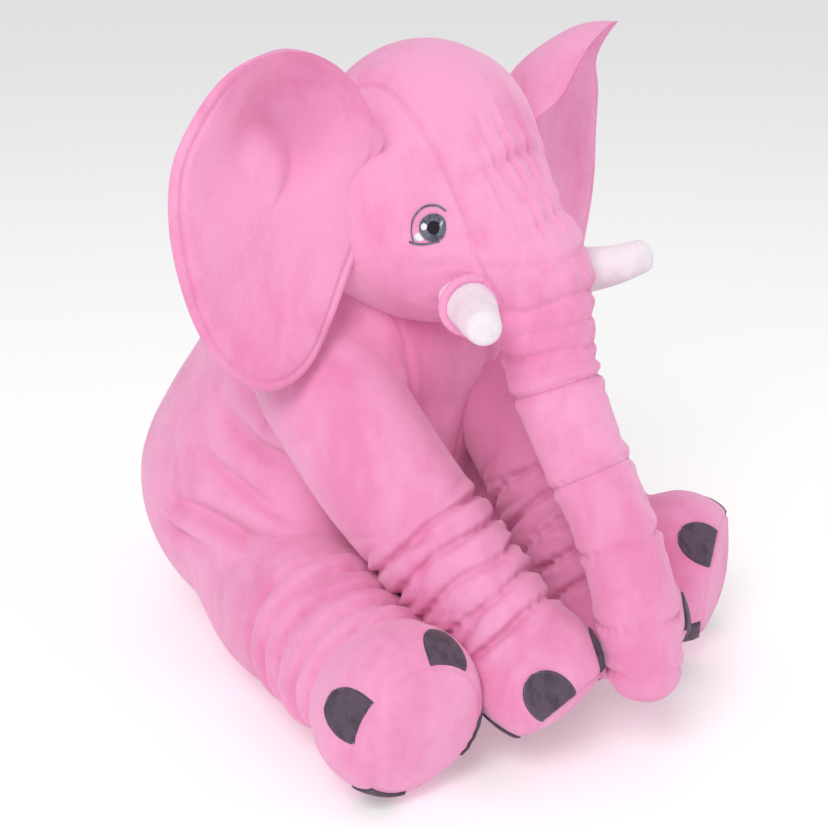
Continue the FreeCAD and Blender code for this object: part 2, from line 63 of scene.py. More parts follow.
Array = np.ndarray
Field = Callable[[Array], Array]


# ---------------------------------------------------------------- shapes in numbers


def unit(vector: Array) -> Array:
    """Return vectors scaled to length one, along the last axis."""
    return vector / np.maximum(np.linalg.norm(vector, axis=-1, keepdims=True), 1e-12)


def fade(value: Array, low: float, high: float) -> Array:
    """Return 0 below low, 1 above high and a smooth step between them."""
    share = np.clip((value - low) / (high - low), 0.0, 1.0)
    return share * share * (3.0 - 2.0 * share)


def hump(value: Array, width: float) -> Array:
    """Return a bell of that half width round zero."""
    return np.exp(-((value / width) ** 2))


def smooth_min(first: Array, second: Array, fillet: float) -> Array:
    """Return the lesser of two distances, with a fillet where they meet."""
    share = np.clip(0.5 + 0.5 * (second - first) / fillet, 0.0, 1.0)
    return second + (first - second) * share - fillet * share * (1.0 - share)


def rod_field(points: Array, start: Array, end: Array, first: float, last: float) -> Array:
    """Return the distance to a round-ended rod whose radius goes from first to last."""
    start, end = np.asarray(start), np.asarray(end)
    way = end - start
    share = np.clip((points - start) @ way / (way @ way), 0.0, 1.0)
    return np.linalg.norm(points - start - share[:, None] * way, axis=1) - (first + (last - first) * share)


def waves(angle: Array, seed: int, low: int, high: int, count: int = 6) -> Array:
    """Return an uneven ripple round a closed turn, between about -1 and 1.

    Args:
        angle: where on the turn, in radians.
        seed: number that fixes the ripple.
        low: fewest waves in a turn.
        high: most waves in a turn.
        count: how many waves are added up.

    Returns:
        The ripple at each angle.
    """
    draw = np.random.default_rng(seed)
    total = np.zeros_like(angle)
    for _ in range(count):
        total += np.cos(draw.integers(low, high + 1) * angle + draw.uniform(0.0, math.tau))
    return total / math.sqrt(count * 2.0)


def line_distance(points: Array, stops: Array) -> tuple[Array, Array]:
    """Return each point's distance to a line through stops, and how far along it the nearest place is.

    Args:
        points: places, one a row.
        stops: corners of the line, one a row.

    Returns:
        Distances in metres, and shares of the line from 0 to 1.
    """
    stops = np.asarray(stops, float)
    nearest = np.full(len(points), 1e9)
    share = np.zeros(len(points))
    for index in range(len(stops) - 1):
        way = stops[index + 1] - stops[index]
        along = np.clip((points - stops[index]) @ way / (way @ way), 0.0, 1.0)
        gap = np.linalg.norm(points - stops[index] - along[:, None] * way, axis=1)
        closer = gap < nearest
        nearest[closer] = gap[closer]
        share[closer] = (index + along[closer]) / (len(stops) - 1)
    return nearest, share


def curve_through(stops: Array, count: int) -> Array:
    """Return count places on a smooth curve through stops."""
    stops = np.asarray(stops, float)
    full = np.vstack([2 * stops[0] - stops[1], stops, 2 * stops[-1] - stops[-2]])
    where = np.linspace(0.0, len(stops) - 1 - 1e-9, count)
    index = where.astype(int)
    t = (where - index)[:, None]
    a, b, c, d = (full[index + step] for step in range(4))
    return 0.5 * (2 * b + (c - a) * t + (2 * a - 5 * b + 4 * c - d) * t**2 + (3 * b - a - 3 * c + d) * t**3)


def surface_net(field: Field, low: Array, high: Array, step: float) -> tuple[Array, Array]:
    """Wrap the zero surface of a field in four-sided faces.

    Args:
        field: distance at each point, below zero inside.
        low: lowest corner of the space to look in.
        high: highest corner of that space.
        step: width of a face.

    Returns:
        The points and the faces, which turn outwards.
    """
    axes = [np.arange(a - 2 * step, b + 3 * step, step) for a, b in zip(low, high)]
    grid = np.stack(np.meshgrid(*axes, indexing="ij"), -1)
    value = field(grid.reshape(-1, 3)).reshape(grid.shape[:3])
    inside = value < 0.0
    cells = tuple(n - 1 for n in value.shape)
    total = np.zeros(cells + (3,))
    hits = np.zeros(cells)
    for axis in range(3):
        others = [a for a in range(3) if a != axis]
        for first in (0, 1):
            for second in (0, 1):
                offset = [0, 0, 0]
                offset[others[0]], offset[others[1]] = first, second
                near = tuple(slice(o, o + n) for o, n in zip(offset, cells))
                offset[axis] = 1
                far = tuple(slice(o, o + n) for o, n in zip(offset, cells))
                crossed = inside[near] != inside[far]
                share = np.where(crossed, value[near] / np.where(crossed, value[near] - value[far], 1.0), 0.0)
                place = grid[near] + share[..., None] * (grid[far] - grid[near])
                total += np.where(crossed[..., None], place, 0.0)
                hits += crossed
    used = hits > 0
    number = np.full(cells, -1)
    number[used] = np.arange(used.sum())
    points = total[used] / hits[used][:, None]
    faces = []
    for axis in range(3):
        others = [(axis + 1) % 3, (axis + 2) % 3]
        near = [slice(1, n) for n in cells]
        near[axis] = slice(0, cells[axis])
        far = list(near)
        far[axis] = slice(1, cells[axis] + 1)
        start, end = inside[tuple(near)], inside[tuple(far)]
        where = np.argwhere(start != end)
        leaving = start[start != end]
        where = where + [0 if a == axis else 1 for a in range(3)]
        ring = []
        for first, second in ((1, 1), (0, 1), (0, 0), (1, 0)):
            shift = [0, 0, 0]
            shift[others[0]], shift[others[1]] = first, second
            cell = where - shift
            ring.append(number[cell[:, 0], cell[:, 1], cell[:, 2]])
        quad = np.stack(ring, 1)
        quad[~leaving] = quad[~leaving][:, ::-1]
        faces.append(quad)
    return points, np.vstack(faces)


def onto(field: Field, points: Array, rounds: int = 4) -> Array:
    """Move points onto the zero surface of a field."""
    reach = 0.5 * MM
    for _ in range(rounds):
        ways = reach * np.eye(3)
        slope = np.stack([(field(points + way) - field(points - way)) / (2 * reach) for way in ways], 1)
        size = np.maximum((slope**2).sum(1), 0.05)
        points = points - slope * (field(points) / size)[:, None]
    return points


def relaxed(points: Array, faces: Array, rounds: int) -> Array:
    """Even out a net of faces by moving each point towards its neighbours."""
    first = faces.ravel()
    for _ in range(rounds):
        total = np.zeros_like(points)
        count = np.zeros(len(points))
        for shift in (1, 3):
            second = np.roll(faces, -shift, axis=1).ravel()
            np.add.at(total, first, points[second])
            np.add.at(count, first, 1)
        points = 0.5 * points + 0.5 * total / count[:, None]
    return points


@dataclass
class Strand:
    """A centre line with a steady frame along it, for legs and trunk.

    Attributes:
        stops: corners of the line, in metres.
        upright: direction that angle zero looks in.
        count: samples along the line.
    """

    stops: Array
    upright: Array
    count: int = 400

    def __post_init__(self) -> None:
        """Lay out the samples, their lengths and their frames."""
        self.line = curve_through(self.stops, self.count)
        steps = np.linalg.norm(np.diff(self.line, axis=0), axis=1)
        self.along = np.concatenate([[0.0], np.cumsum(steps)])
        self.tangent = unit(np.gradient(self.line, self.along, axis=0))
        upright = np.asarray(self.upright, float)
        self.side = unit(upright - self.tangent * (self.tangent @ upright)[:, None])
        self.across = np.cross(self.tangent, self.side)

    def at(self, along: Array) -> tuple[Array, Array, Array, Array]:
        """Return centres, tangents and the two cross directions at those lengths."""
        inner = np.clip(along, self.along[0], self.along[-1])
        parts = [
            np.stack([np.interp(inner, self.along, part[:, axis]) for axis in range(3)], -1)
            for part in (self.line, self.tangent, self.side, self.across)
        ]
        parts[0] = parts[0] + parts[1] * (along - inner)[..., None]
        return tuple(parts)

    def place(self, along: Array, angle: Array, radius: Array) -> Array:
        """Return points at a length, an angle and a distance from the line."""
        centre, _, side, across = self.at(along)
        out = np.cos(angle)[..., None] * side + np.sin(angle)[..., None] * across
        return centre + out * np.asarray(radius)[..., None]


# ---------------------------------------------------------------- meshes


def mesh_object(name: str, points: Array, faces: list | Array) -> bpy.types.Object:
    """Make a smooth-shaded mesh object with its place in its mesh."""
    mesh = bpy.data.meshes.new(name)
    corners = [list(map(int, face)) for face in faces]
    mesh.from_pydata([tuple(point) for point in np.asarray(points, float)], [], corners)
    mesh.validate()
    mesh.polygons.foreach_set("use_smooth", [True] * len(mesh.polygons))
    mesh.update()
    thing = bpy.data.objects.new(name, mesh)
    bpy.context.scene.collection.objects.link(thing)
    return thing


def coordinates(thing: bpy.types.Object) -> Array:
    """Return a mesh object's points."""
    flat = np.empty(len(thing.data.vertices) * 3)
    thing.data.vertices.foreach_get("co", flat)
    return flat.reshape(-1, 3)


def normals(thing: bpy.types.Object) -> Array:
    """Return a mesh object's point normals."""
    flat = np.empty(len(thing.data.vertices) * 3)
    thing.data.vertex_normals.foreach_get("vector", flat)
    return flat.reshape(-1, 3)


def set_coordinates(thing: bpy.types.Object, points: Array) -> None:
    """Give a mesh object new points."""
    thing.data.vertices.foreach_set("co", np.asarray(points, float).ravel())
    thing.data.update()


def emboss(thing: bpy.types.Object, relief: Callable[[Array], Array]) -> None:
    """Push each point of a mesh along its normal by what relief says, in metres."""
    points = coordinates(thing)
    set_coordinates(thing, points + normals(thing) * relief(points)[:, None])


def baked(thing: bpy.types.Object) -> bpy.types.Object:
    """Turn an object's modifiers into plain mesh, and take them off."""
    evaluated = thing.evaluated_get(bpy.context.evaluated_depsgraph_get())
    mesh = bpy.data.meshes.new_from_object(evaluated)
    thing.modifiers.clear()
    old, thing.data = thing.data, mesh
    mesh.name = thing.name
    if old.users == 0 and isinstance(old, bpy.types.Mesh):
        bpy.data.meshes.remove(old)
    thing.data.polygons.foreach_set("use_smooth", [True] * len(thing.data.polygons))
    return thing


def finer(thing: bpy.types.Object, levels: int = 1) -> bpy.types.Object:
    """Subdivide a mesh smoothly."""
    smooth = thing.modifiers.new("finer", "SUBSURF")
    smooth.levels = smooth.render_levels = levels
    return baked(thing)


def swollen(thing: bpy.types.Object, cap: float, pressure: float = 4.0, steps: int = 20) -> bpy.types.Object:
    """Blow a closed cover up as its filling does, by cloth simulation.

    Args:
        thing: the cover, evenly meshed already.
        cap: furthest that a point may move, in metres.
        pressure: of the filling.
        steps: frames that the cloth gets.

    Returns:
        The same object, with the result in its mesh.
    """
    before = coordinates(thing)
    cloth = thing.modifiers.new("filling", "CLOTH")
    cloth.settings.quality = 6
    cloth.settings.use_pressure = True
    cloth.settings.uniform_pressure_force = pressure
    cloth.settings.effector_weights.gravity = 0.0
    cloth.settings.tension_stiffness = cloth.settings.compression_stiffness = 12.0
    cloth.settings.bending_stiffness = 0.6
    cloth.collision_settings.use_self_collision = False
    cloth.point_cache.frame_start, cloth.point_cache.frame_end = 1, steps
    scene = bpy.context.scene
    for number in range(1, steps + 1):
        scene.frame_set(number)
    baked(thing)
    scene.frame_set(1)
    move = coordinates(thing) - before
    size = np.linalg.norm(move, axis=1, keepdims=True)
    set_coordinates(thing, before + move * (cap * np.tanh(size / cap) / np.maximum(size, 1e-9)))
    return thing


def outwards(thing: bpy.types.Object) -> None:
    """Turn a closed mesh's faces outwards, and drop loose points."""
    fresh = bmesh.new()
    fresh.from_mesh(thing.data)
    bmesh.ops.delete(fresh, geom=[point for point in fresh.verts if not point.link_faces], context="VERTS")
    bmesh.ops.recalc_face_normals(fresh, faces=fresh.faces)
    bmesh.ops.triangulate(fresh, faces=[face for face in fresh.faces if len(face.verts) > 4])
    fresh.to_mesh(thing.data)
    fresh.free()


def band(low: int, high: int, around: int) -> list:
    """Return the faces between two rings of points, given the number of each ring's first point."""
    column = np.arange(around)
    after = (column + 1) % around
    return np.stack([low + column, low + after, high + after, high + column], 1).tolist()


def closed_loft(rings: Array) -> tuple[Array, list]:
    """Join rings of points into a closed skin whose first and last rings shrink to poles.

    Args:
        rings: array of ring, point in the ring, and x y z.

    Returns:
        The points and the faces.
    """
    count, around = rings.shape[:2]
    points = rings.reshape(-1, 3)
    faces = [face for ring in range(count - 1) for face in band(ring * around, (ring + 1) * around, around)]
    poles = [points[:around].mean(0), points[-around:].mean(0)]
    first, last = len(points), len(points) + 1
    faces += [[first, (c + 1) % around, c] for c in range(around)]
    base = (count - 1) * around
    faces += [[last, base + c, base + (c + 1) % around] for c in range(around)]
    return np.vstack([points, poles]), faces


def nearest_skin(thing: bpy.types.Object) -> BVHTree:
    """Return a search tree of a mesh's faces."""
    mesh = thing.data
    return BVHTree.FromPolygons([v.co[:] for v in mesh.vertices], [p.vertices[:] for p in mesh.polygons])


def laid_on(skin: BVHTree, points: Array, lift: Array | float) -> Array:
    """Return points laid on a skin, and lifted off it along its normal."""
    lifts = np.broadcast_to(lift, (len(points),))
    result = []
    for point, rise in zip(points, lifts):
        place, normal, _, _ = skin.find_nearest(Vector(point))
        result.append(np.array(place) + np.array(normal) * rise)
    return np.array(result)


# ---------------------------------------------------------------- finishes


class Tone(Enum):
    """Colours of the finishes, in linear light."""

    PINK_LIGHT = (0.90, 0.370, 0.610, 1.0)
    PINK_DEEP = (0.80, 0.230, 0.455, 1.0)
    TUSK_LIGHT = (0.88, 0.82, 0.87, 1.0)
    TUSK_DEEP = (0.76, 0.66, 0.73, 1.0)
    FELT_LIGHT = (0.110, 0.082, 0.110, 1.0)
    FELT_DEEP = (0.060, 0.043, 0.062, 1.0)
    THREAD_PALE = (0.42, 0.33, 0.40, 1.0)
    THREAD_WHITE = (0.86, 0.84, 0.87, 1.0)
    THREAD_SLATE = (0.19, 0.215, 0.275, 1.0)
    THREAD_DARK = (0.018, 0.016, 0.026, 1.0)
    FLOOR = (0.93, 0.93, 0.93, 1.0)


def add_socket(group: bpy.types.NodeTree, name: str, kind: str, way: str, value: object = None) -> None:
    """Give a node group a named input or output."""
    socket = group.interface.new_socket(name=name, in_out=way, socket_type=kind)
    if value is not None:
        socket.default_value = value


def pile_group() -> bpy.types.NodeTree:
    """Build the shader group of a brushed pile: colour blotches, and the height of its nap."""
    group = bpy.data.node_groups.new("brushed_pile", "ShaderNodeTree")
    for name, kind, value in (
        ("Light", "NodeSocketColor", Tone.PINK_LIGHT.value),
        ("Deep", "NodeSocketColor", Tone.PINK_DEEP.value),
        ("Blotch scale", "NodeSocketFloat", 14.0),
        ("Nap scale", "NodeSocketFloat", 650.0),
    ):
        add_socket(group, name, kind, "INPUT", value)
    kinds = ("NodeSocketColor", "NodeSocketFloat", "NodeSocketFloat")
    for name, kind in zip(("Color", "Roughness", "Height"), kinds):
        add_socket(group, name, kind, "OUTPUT")
    nodes, link = group.nodes, group.links.new
    inputs, outputs = nodes.new("NodeGroupInput"), nodes.new("NodeGroupOutput")
    place = nodes.new("ShaderNodeTexCoord")
    stroke = nodes.new("ShaderNodeMapping")
    stroke.inputs["Scale"].default_value = (1.0, 1.0, 0.55)
    link(place.outputs["Object"], stroke.inputs["Vector"])
    blotch = nodes.new("ShaderNodeTexNoise")
    blotch.inputs["Detail"].default_value = 4.0
    blotch.inputs["Roughness"].default_value = 0.62
    blotch.inputs["Distortion"].default_value = 0.15
    link(stroke.outputs["Vector"], blotch.inputs["Vector"])
    link(inputs.outputs["Blotch scale"], blotch.inputs["Scale"])
    spread = nodes.new("ShaderNodeMapRange")
    spread.inputs["From Min"].default_value, spread.inputs["From Max"].default_value = 0.36, 0.62
    link(blotch.outputs["Fac"], spread.inputs["Value"])
    nap = nodes.new("ShaderNodeTexNoise")
    nap.inputs["Detail"].default_value = 3.0
    nap.inputs["Roughness"].default_value = 0.7
    link(place.outputs["Object"], nap.inputs["Vector"])
    link(inputs.outputs["Nap scale"], nap.inputs["Scale"])
    fleck = nodes.new("ShaderNodeMath")
    fleck.operation = "MULTIPLY_ADD"
    fleck.use_clamp = True
    fleck.inputs[1].default_value = 0.55
    link(nap.outputs["Fac"], fleck.inputs[0])
    link(spread.outputs["Result"], fleck.inputs[2])
    mix = nodes.new("ShaderNodeMix")
    mix.data_type = "RGBA"
    link(fleck.outputs["Value"], mix.inputs["Factor"])
    link(inputs.outputs["Deep"], mix.inputs[6])
    link(inputs.outputs["Light"], mix.inputs[7])
    rough = nodes.new("ShaderNodeMapRange")
    rough.inputs["To Min"].default_value, rough.inputs["To Max"].default_value = 0.78, 0.96
    link(nap.outputs["Fac"], rough.inputs["Value"])
    height = nodes.new("ShaderNodeMath")
    height.operation = "MULTIPLY_ADD"
    height.inputs[1].default_value = 0.35
    link(spread.outputs["Result"], height.inputs[0])
    link(nap.outputs["Fac"], height.inputs[2])
    link(mix.outputs[2], outputs.inputs["Color"])
    link(rough.outputs["Result"], outputs.inputs["Roughness"])
    link(height.outputs["Value"], outputs.inputs["Height"])
    return group


@dataclass(frozen=True)
class Finish:
    """One cloth or thread finish.

    Attributes:
        name: of the material.
        light: colour where the pile stands.
        deep: colour where the pile lies flat.
        blotch: how many blotches a metre.
        nap: how many nap flecks a metre.
        depth: height of the nap, in metres.
        sheen: share of light that the pile's tips scatter.
        sheen_tone: colour of those tips.
        glow: share of light that passes into the pile.
    """

    name: str
    light: Tone
    deep: Tone
    blotch: float = 14.0
    nap: float = 650.0
    depth: float = 0.0009
    sheen: float = 0.5
    sheen_tone: tuple[float, float, float] = (1.0, 0.82, 0.92)
    glow: float = 0.0

    def build(self, group: bpy.types.NodeTree) -> bpy.types.Material:
        """Build the material round the shared pile group."""
        material = bpy.data.materials.new(self.name)
        material.use_nodes = True
        nodes, link = material.node_tree.nodes, material.node_tree.links.new
        surface = nodes["Principled BSDF"]
        pile = nodes.new("ShaderNodeGroup")
        pile.node_tree = group
        pile.inputs["Light"].default_value = self.light.value
        pile.inputs["Deep"].default_value = self.deep.value
        pile.inputs["Blotch scale"].default_value = self.blotch
        pile.inputs["Nap scale"].default_value = self.nap
        relief = nodes.new("ShaderNodeBump")
        relief.inputs["Strength"].default_value = 0.8
        relief.inputs["Distance"].default_value = self.depth
        link(pile.outputs["Color"], surface.inputs["Base Color"])
        link(pile.outputs["Roughness"], surface.inputs["Roughness"])
        link(pile.outputs["Height"], relief.inputs["Height"])
        link(relief.outputs["Normal"], surface.inputs["Normal"])
        surface.inputs["Specular IOR Level"].default_value = 0.15
        surface.inputs["Sheen Weight"].default_value = self.sheen
        surface.inputs["Sheen Roughness"].default_value = 0.45
        surface.inputs["Sheen Tint"].default_value = (*self.sheen_tone, 1.0)
        if self.glow:
            surface.inputs["Subsurface Weight"].default_value = self.glow
            surface.inputs["Subsurface Radius"].default_value = (0.006, 0.003, 0.004)
            surface.inputs["Subsurface Scale"].default_value = 1.0
        return material


class Wardrobe:
    """Builds each finish once and hands it out by name."""

    FINISHES = (
        Finish("pink_plush", Tone.PINK_LIGHT, Tone.PINK_DEEP, blotch=13.0),
        Finish("sole_plush", Tone.PINK_LIGHT, Tone.PINK_DEEP, blotch=22.0),
        Finish("tuft_pile", Tone.PINK_LIGHT, Tone.PINK_DEEP, blotch=30.0, depth=0.002),
        Finish("tusk_velour", Tone.TUSK_LIGHT, Tone.TUSK_DEEP, blotch=30.0, sheen_tone=(1.0, 0.96, 0.98)),
        Finish("nail_felt", Tone.FELT_LIGHT, Tone.FELT_DEEP, 120.0, 1500.0, 0.0003, 0.2),
        Finish("topstitch", Tone.THREAD_PALE, Tone.FELT_LIGHT, 200.0, 3000.0, 0.0001, 0.2),
        Finish("white_thread", Tone.THREAD_WHITE, Tone.TUSK_DEEP, 200.0, 3000.0, 0.0001, 0.2),
        Finish("slate_thread", Tone.THREAD_SLATE, Tone.THREAD_DARK, 260.0, 3000.0, 0.0001, 0.25),
        Finish("dark_thread", Tone.THREAD_DARK, Tone.THREAD_DARK, 200.0, 3000.0, 0.0001, 0.2),
    )

    def __init__(self) -> None:
        """Build every finish."""
        group = pile_group()
        self.materials = {finish.name: finish.build(group) for finish in self.FINISHES}

    def dress(self, thing: bpy.types.Object, name: str, slot: str) -> bpy.types.Object:
        """Give an object one finish."""
        thing.data.materials.clear()
        thing.data.materials.append(self.materials[name])
        return thing


# ---------------------------------------------------------------- stitches


def stitch_tree() -> bpy.types.NodeTree:
    """Build the node tree that sews stitches along the edges of a line.

    Returns:
        A tree with inputs for the pitch, length and thickness of a stitch, and its thread.
    """
    tree = bpy.data.node_groups.new("stitches_on_a_line", "GeometryNodeTree")
    add_socket(tree, "Geometry", "NodeSocketGeometry", "INPUT")
    for name, value in (("Pitch", 0.003), ("Length", 0.0024), ("Thickness", 0.0004)):
        add_socket(tree, name, "NodeSocketFloat", "INPUT", value)
    add_socket(tree, "Thread", "NodeSocketMaterial", "INPUT")
    add_socket(tree, "Geometry", "NodeSocketGeometry", "OUTPUT")
    nodes, link = tree.nodes, tree.links.new
    inputs, outputs = nodes.new("NodeGroupInput"), nodes.new("NodeGroupOutput")
    line = nodes.new("GeometryNodeMeshToCurve")
    spaced = nodes.new("GeometryNodeResampleCurve")
    spaced.mode = "LENGTH"
    link(inputs.outputs["Geometry"], line.inputs["Mesh"])
    link(line.outputs["Curve"], spaced.inputs["Curve"])
    link(inputs.outputs["Pitch"], spaced.inputs["Length"])
    bead = nodes.new("GeometryNodeMeshUVSphere")
    bead.inputs["Segments"].default_value = 8
    bead.inputs["Rings"].default_value = 5
    bead.inputs["Radius"].default_value = 1.0
    tangent = nodes.new("GeometryNodeInputTangent")
    turn = nodes.new("FunctionNodeAlignEulerToVector")
    turn.axis = "Z"
    link(tangent.outputs["Tangent"], turn.inputs["Vector"])
    halves = []
    for source in ("Thickness", "Length"):
        half = nodes.new("ShaderNodeMath")
        half.operation = "MULTIPLY"
        half.inputs[1].default_value = 0.5
        link(inputs.outputs[source], half.inputs[0])
        halves.append(half)
    size = nodes.new("ShaderNodeCombineXYZ")
    for axis, half in (("X", halves[0]), ("Y", halves[0]), ("Z", halves[1])):
        link(half.outputs["Value"], size.inputs[axis])
    sewn = nodes.new("GeometryNodeInstanceOnPoints")
    link(spaced.outputs["Curve"], sewn.inputs["Points"])
    link(bead.outputs["Mesh"], sewn.inputs["Instance"])
    link(turn.outputs["Rotation"], sewn.inputs["Rotation"])
    link(size.outputs["Vector"], sewn.inputs["Scale"])
    real = nodes.new("GeometryNodeRealizeInstances")
    thread = nodes.new("GeometryNodeSetMaterial")
    link(sewn.outputs["Instances"], real.inputs["Geometry"])
    link(real.outputs["Geometry"], thread.inputs["Geometry"])
    link(inputs.outputs["Thread"], thread.inputs["Material"])
    link(thread.outputs["Geometry"], outputs.inputs["Geometry"])
    return tree


@dataclass
class Needle:
    """Sews stitches along lines with one node tree."""

    wardrobe: Wardrobe

    def __post_init__(self) -> None:
        """Build the tree once."""
        self.tree = stitch_tree()

    def sew(
        self,
        name: str,
        lines: list[Array],
        thread: str,
        pitch: float,
        length: float,
        thickness: float,
    ) -> bpy.types.Object:
        """Sew one object of stitches along lines.

        Args:
            name: of the object.
            lines: places along each line.
            thread: finish of the thread.
            pitch: from stitch to stitch.
            length: of a stitch.
            thickness: of a stitch.

        Returns:
            A plain mesh of stitches.
        """
        points, edges = [], []
        for line in lines:
            start = len(points)
            points += [tuple(place) for place in line]
            edges += [(start + n, start + n + 1) for n in range(len(line) - 1)]
        mesh = bpy.data.meshes.new(name)
        mesh.from_pydata(points, edges, [])
        thing = bpy.data.objects.new(name, mesh)
        bpy.context.scene.collection.objects.link(thing)
        modifier = thing.modifiers.new("stitches", "NODES")
        modifier.node_group = self.tree
        values = {
            "Pitch": pitch,
            "Length": length,
            "Thickness": thickness,
            "Thread": self.wardrobe.materials[thread],
        }
        for item in self.tree.interface.items_tree:
            if item.in_out == "INPUT" and item.name in values:
                modifier[item.identifier] = values[item.name]
        return baked(thing)


# ---------------------------------------------------------------- sub-assemblies


def sided(point: Array, side: int) -> Array:
    """Return a left-side place or direction, mirrored when side is -1."""
    return np.asarray(point, float) * (side, 1.0, 1.0)


def gathers(along: Array, angle: Array, seams: list[float], seed: int, depth: float, width: float) -> Array:
    """Return the relief of seams drawn in by elastic, with puckers on both sides of each.

    Args:
        along: length along the limb.
        angle: angle round the limb.
        seams: lengths of the elastic lines.
        seed: fixes how they wander.
        depth: how far each line is drawn in.
        width: half width of its groove.

    Returns:
        Relief in metres, below zero in the grooves.
    """
    relief = np.zeros_like(along)
    for number, seam in enumerate(seams):
        gap = along - seam - 2.6 * MM * waves(angle, seed + number, 1, 4)
        hold = 0.72 + 0.28 * waves(angle, seed + 30 + number, 1, 3)
        relief -= depth * hold * hump(gap, width)
        relief += 0.38 * depth * (hump(gap - 2.6 * width, 1.7 * width) + hump(gap + 2.6 * width, 1.7 * width))
        relief += 0.20 * depth * hump(gap, 2.2 * width) * waves(angle, seed + 60 + number, 9, 26, 9)
    return relief


def creases(
    along: Array, arc: Array, seed: int, count: int, span: tuple, girth: float, depth: float
) -> Array:
    """Return the relief of short creases that lie mostly across a limb.

    Args:
        along: length along the limb.
        arc: length round the limb.
        seed: fixes their places.
        count: how many there are.
        span: lengths along the limb between which they lie.
        girth: length once round the limb.
        depth: of the deepest.

    Returns:
        Relief in metres.
    """
    draw = np.random.default_rng(seed)
    relief = np.zeros_like(along)
    for _ in range(count):
        where, around = draw.uniform(*span), draw.uniform(0.0, girth)
        lean, reach = draw.normal(0.0, 0.22), draw.uniform(14.0, 38.0) * MM
        size = depth * draw.uniform(0.35, 1.0)
        off = (arc - around + girth / 2) % girth - girth / 2
        gap = along - where - lean * off
        relief -= size * hump(off, reach) * (hump(gap, 3.2 * MM) - 0.5 * hump(gap - 6.0 * MM, 5.0 * MM))
    return relief


@dataclass
class Torso:
    """The seated body: side panels with a belly panel, flat where it sits."""

    wardrobe: Wardrobe
    rump: tuple = (0.0, 0.0, 0.155)
    chest: tuple = (0.0, -0.070, 0.315)
    back: tuple = (0.0, -0.040, 0.312)
    rump_radius: float = 0.168
    chest_radius: float = 0.113
    back_radius: float = 0.117
    shoulder_radius: float = 0.058
    hip_radius: float = 0.079
    fillet: float = 0.045
    step: float = 0.005
    swell: float = 0.004

    def field(self, points: Array) -> Array:
        """Return the distance to the body with its shoulder and hip rounds."""
        solid = rod_field(points, self.rump, self.chest, self.rump_radius, self.chest_radius)
        back = rod_field(points, self.rump, self.back, self.rump_radius, self.back_radius)
        solid = smooth_min(solid, back, 0.01)
        folded = points.copy()
        folded[:, 0] = np.abs(folded[:, 0])
        for joint, radius in (
            ("front_leg_left_swing", self.shoulder_radius),
            ("hind_leg_left_spread", self.hip_radius),
        ):
            rounded = np.linalg.norm(folded - JOINTS[joint], axis=1) - radius
            solid = smooth_min(solid, rounded, self.fillet)
        return -smooth_min(-solid, points[:, 2] - 0.001, 0.016)

    def relief(self, points: Array) -> Array:
        """Return the seams and the stretch folds."""
        folded = points.copy()
        folded[:, 0] = np.abs(folded[:, 0])
        height = points[:, 2]
        total = -1.8 * MM * hump(folded[:, 0], 2.5 * MM) * (points[:, 1] > 0.0) * fade(height, 0.03, 0.08)
        front = points[:, 1] < -0.05
        edge = folded[:, 0] - (0.024 + 0.022 * fade(height, 0.16, 0.34))
        total -= 1.8 * MM * hump(edge, 2.5 * MM) * front * fade(height, 0.05, 0.1)
        for stops, depth, width in self.FOLDS:
            gap, share = line_distance(folded, onto(self.field, curve_through(stops, 16)))
            strength = np.sin(math.pi * np.clip(share, 0.02, 0.98)) ** 0.7
            total -= 1.9 * depth * strength * (hump(gap, width) - 0.40 * hump(gap - 2.4 * width, 1.5 * width))
        soft = np.sin(23.0 * points[:, 0] + 17.0 * height) * np.sin(19.0 * points[:, 1] - 29.0 * height + 1.3)
        return total + 2.2 * MM * soft * fade(height, 0.02, 0.08)

    FOLDS = (
        (((0.130, -0.030, 0.300), (0.135, -0.075, 0.275), (0.140, -0.120, 0.245)), 4.0 * MM, 6.0 * MM),
        (((0.135, -0.020, 0.268), (0.140, -0.070, 0.238), (0.145, -0.125, 0.212)), 4.5 * MM, 7.0 * MM),
        (((0.165, 0.000, 0.232), (0.160, -0.060, 0.205), (0.150, -0.125, 0.186)), 3.5 * MM, 6.0 * MM),
        (
            ((0.172, 0.030, 0.168), (0.175, -0.040, 0.168), (0.165, -0.100, 0.166), (0.140, -0.150, 0.158)),
            7.0 * MM, 8.0 * MM,
        ),
        (((0.160, 0.040, 0.145), (0.180, -0.010, 0.135), (0.185, -0.060, 0.140)), 3.5 * MM, 6.0 * MM),
        (((0.110, -0.060, 0.355), (0.125, -0.100, 0.335)), 3.0 * MM, 5.0 * MM),
        (((0.050, -0.165, 0.330), (0.050, -0.178, 0.280), (0.045, -0.170, 0.220)), 3.0 * MM, 4.0 * MM),
    )

    def build(self) -> bpy.types.Object:
        """Build and dress the body."""
        low, high = (-0.21, -0.24, 0.0), (0.21, 0.19, 0.44)
        points, faces = surface_net(self.field, low, high, self.step)
        points = onto(self.field, relaxed(points, faces, 3))
        cover = mesh_object("torso_cover", points, faces)
        swollen(cover, self.swell)
        finer(cover)
        emboss(cover, self.relief)
        points = coordinates(cover)
        points[:, 2] = np.maximum(points[:, 2], 0.4 * MM)
        set_coordinates(cover, points)
        self.wardrobe.dress(cover, "pink_plush", "pink_plush")
        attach(cover, "torso")
        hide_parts("torso_cover_left", "torso_cover_right", "belly_panel", "torso_filling")
        return cover


class LegKind(Enum):
    """The two kinds of leg."""

    FRONT = "front"
    HIND = "hind"


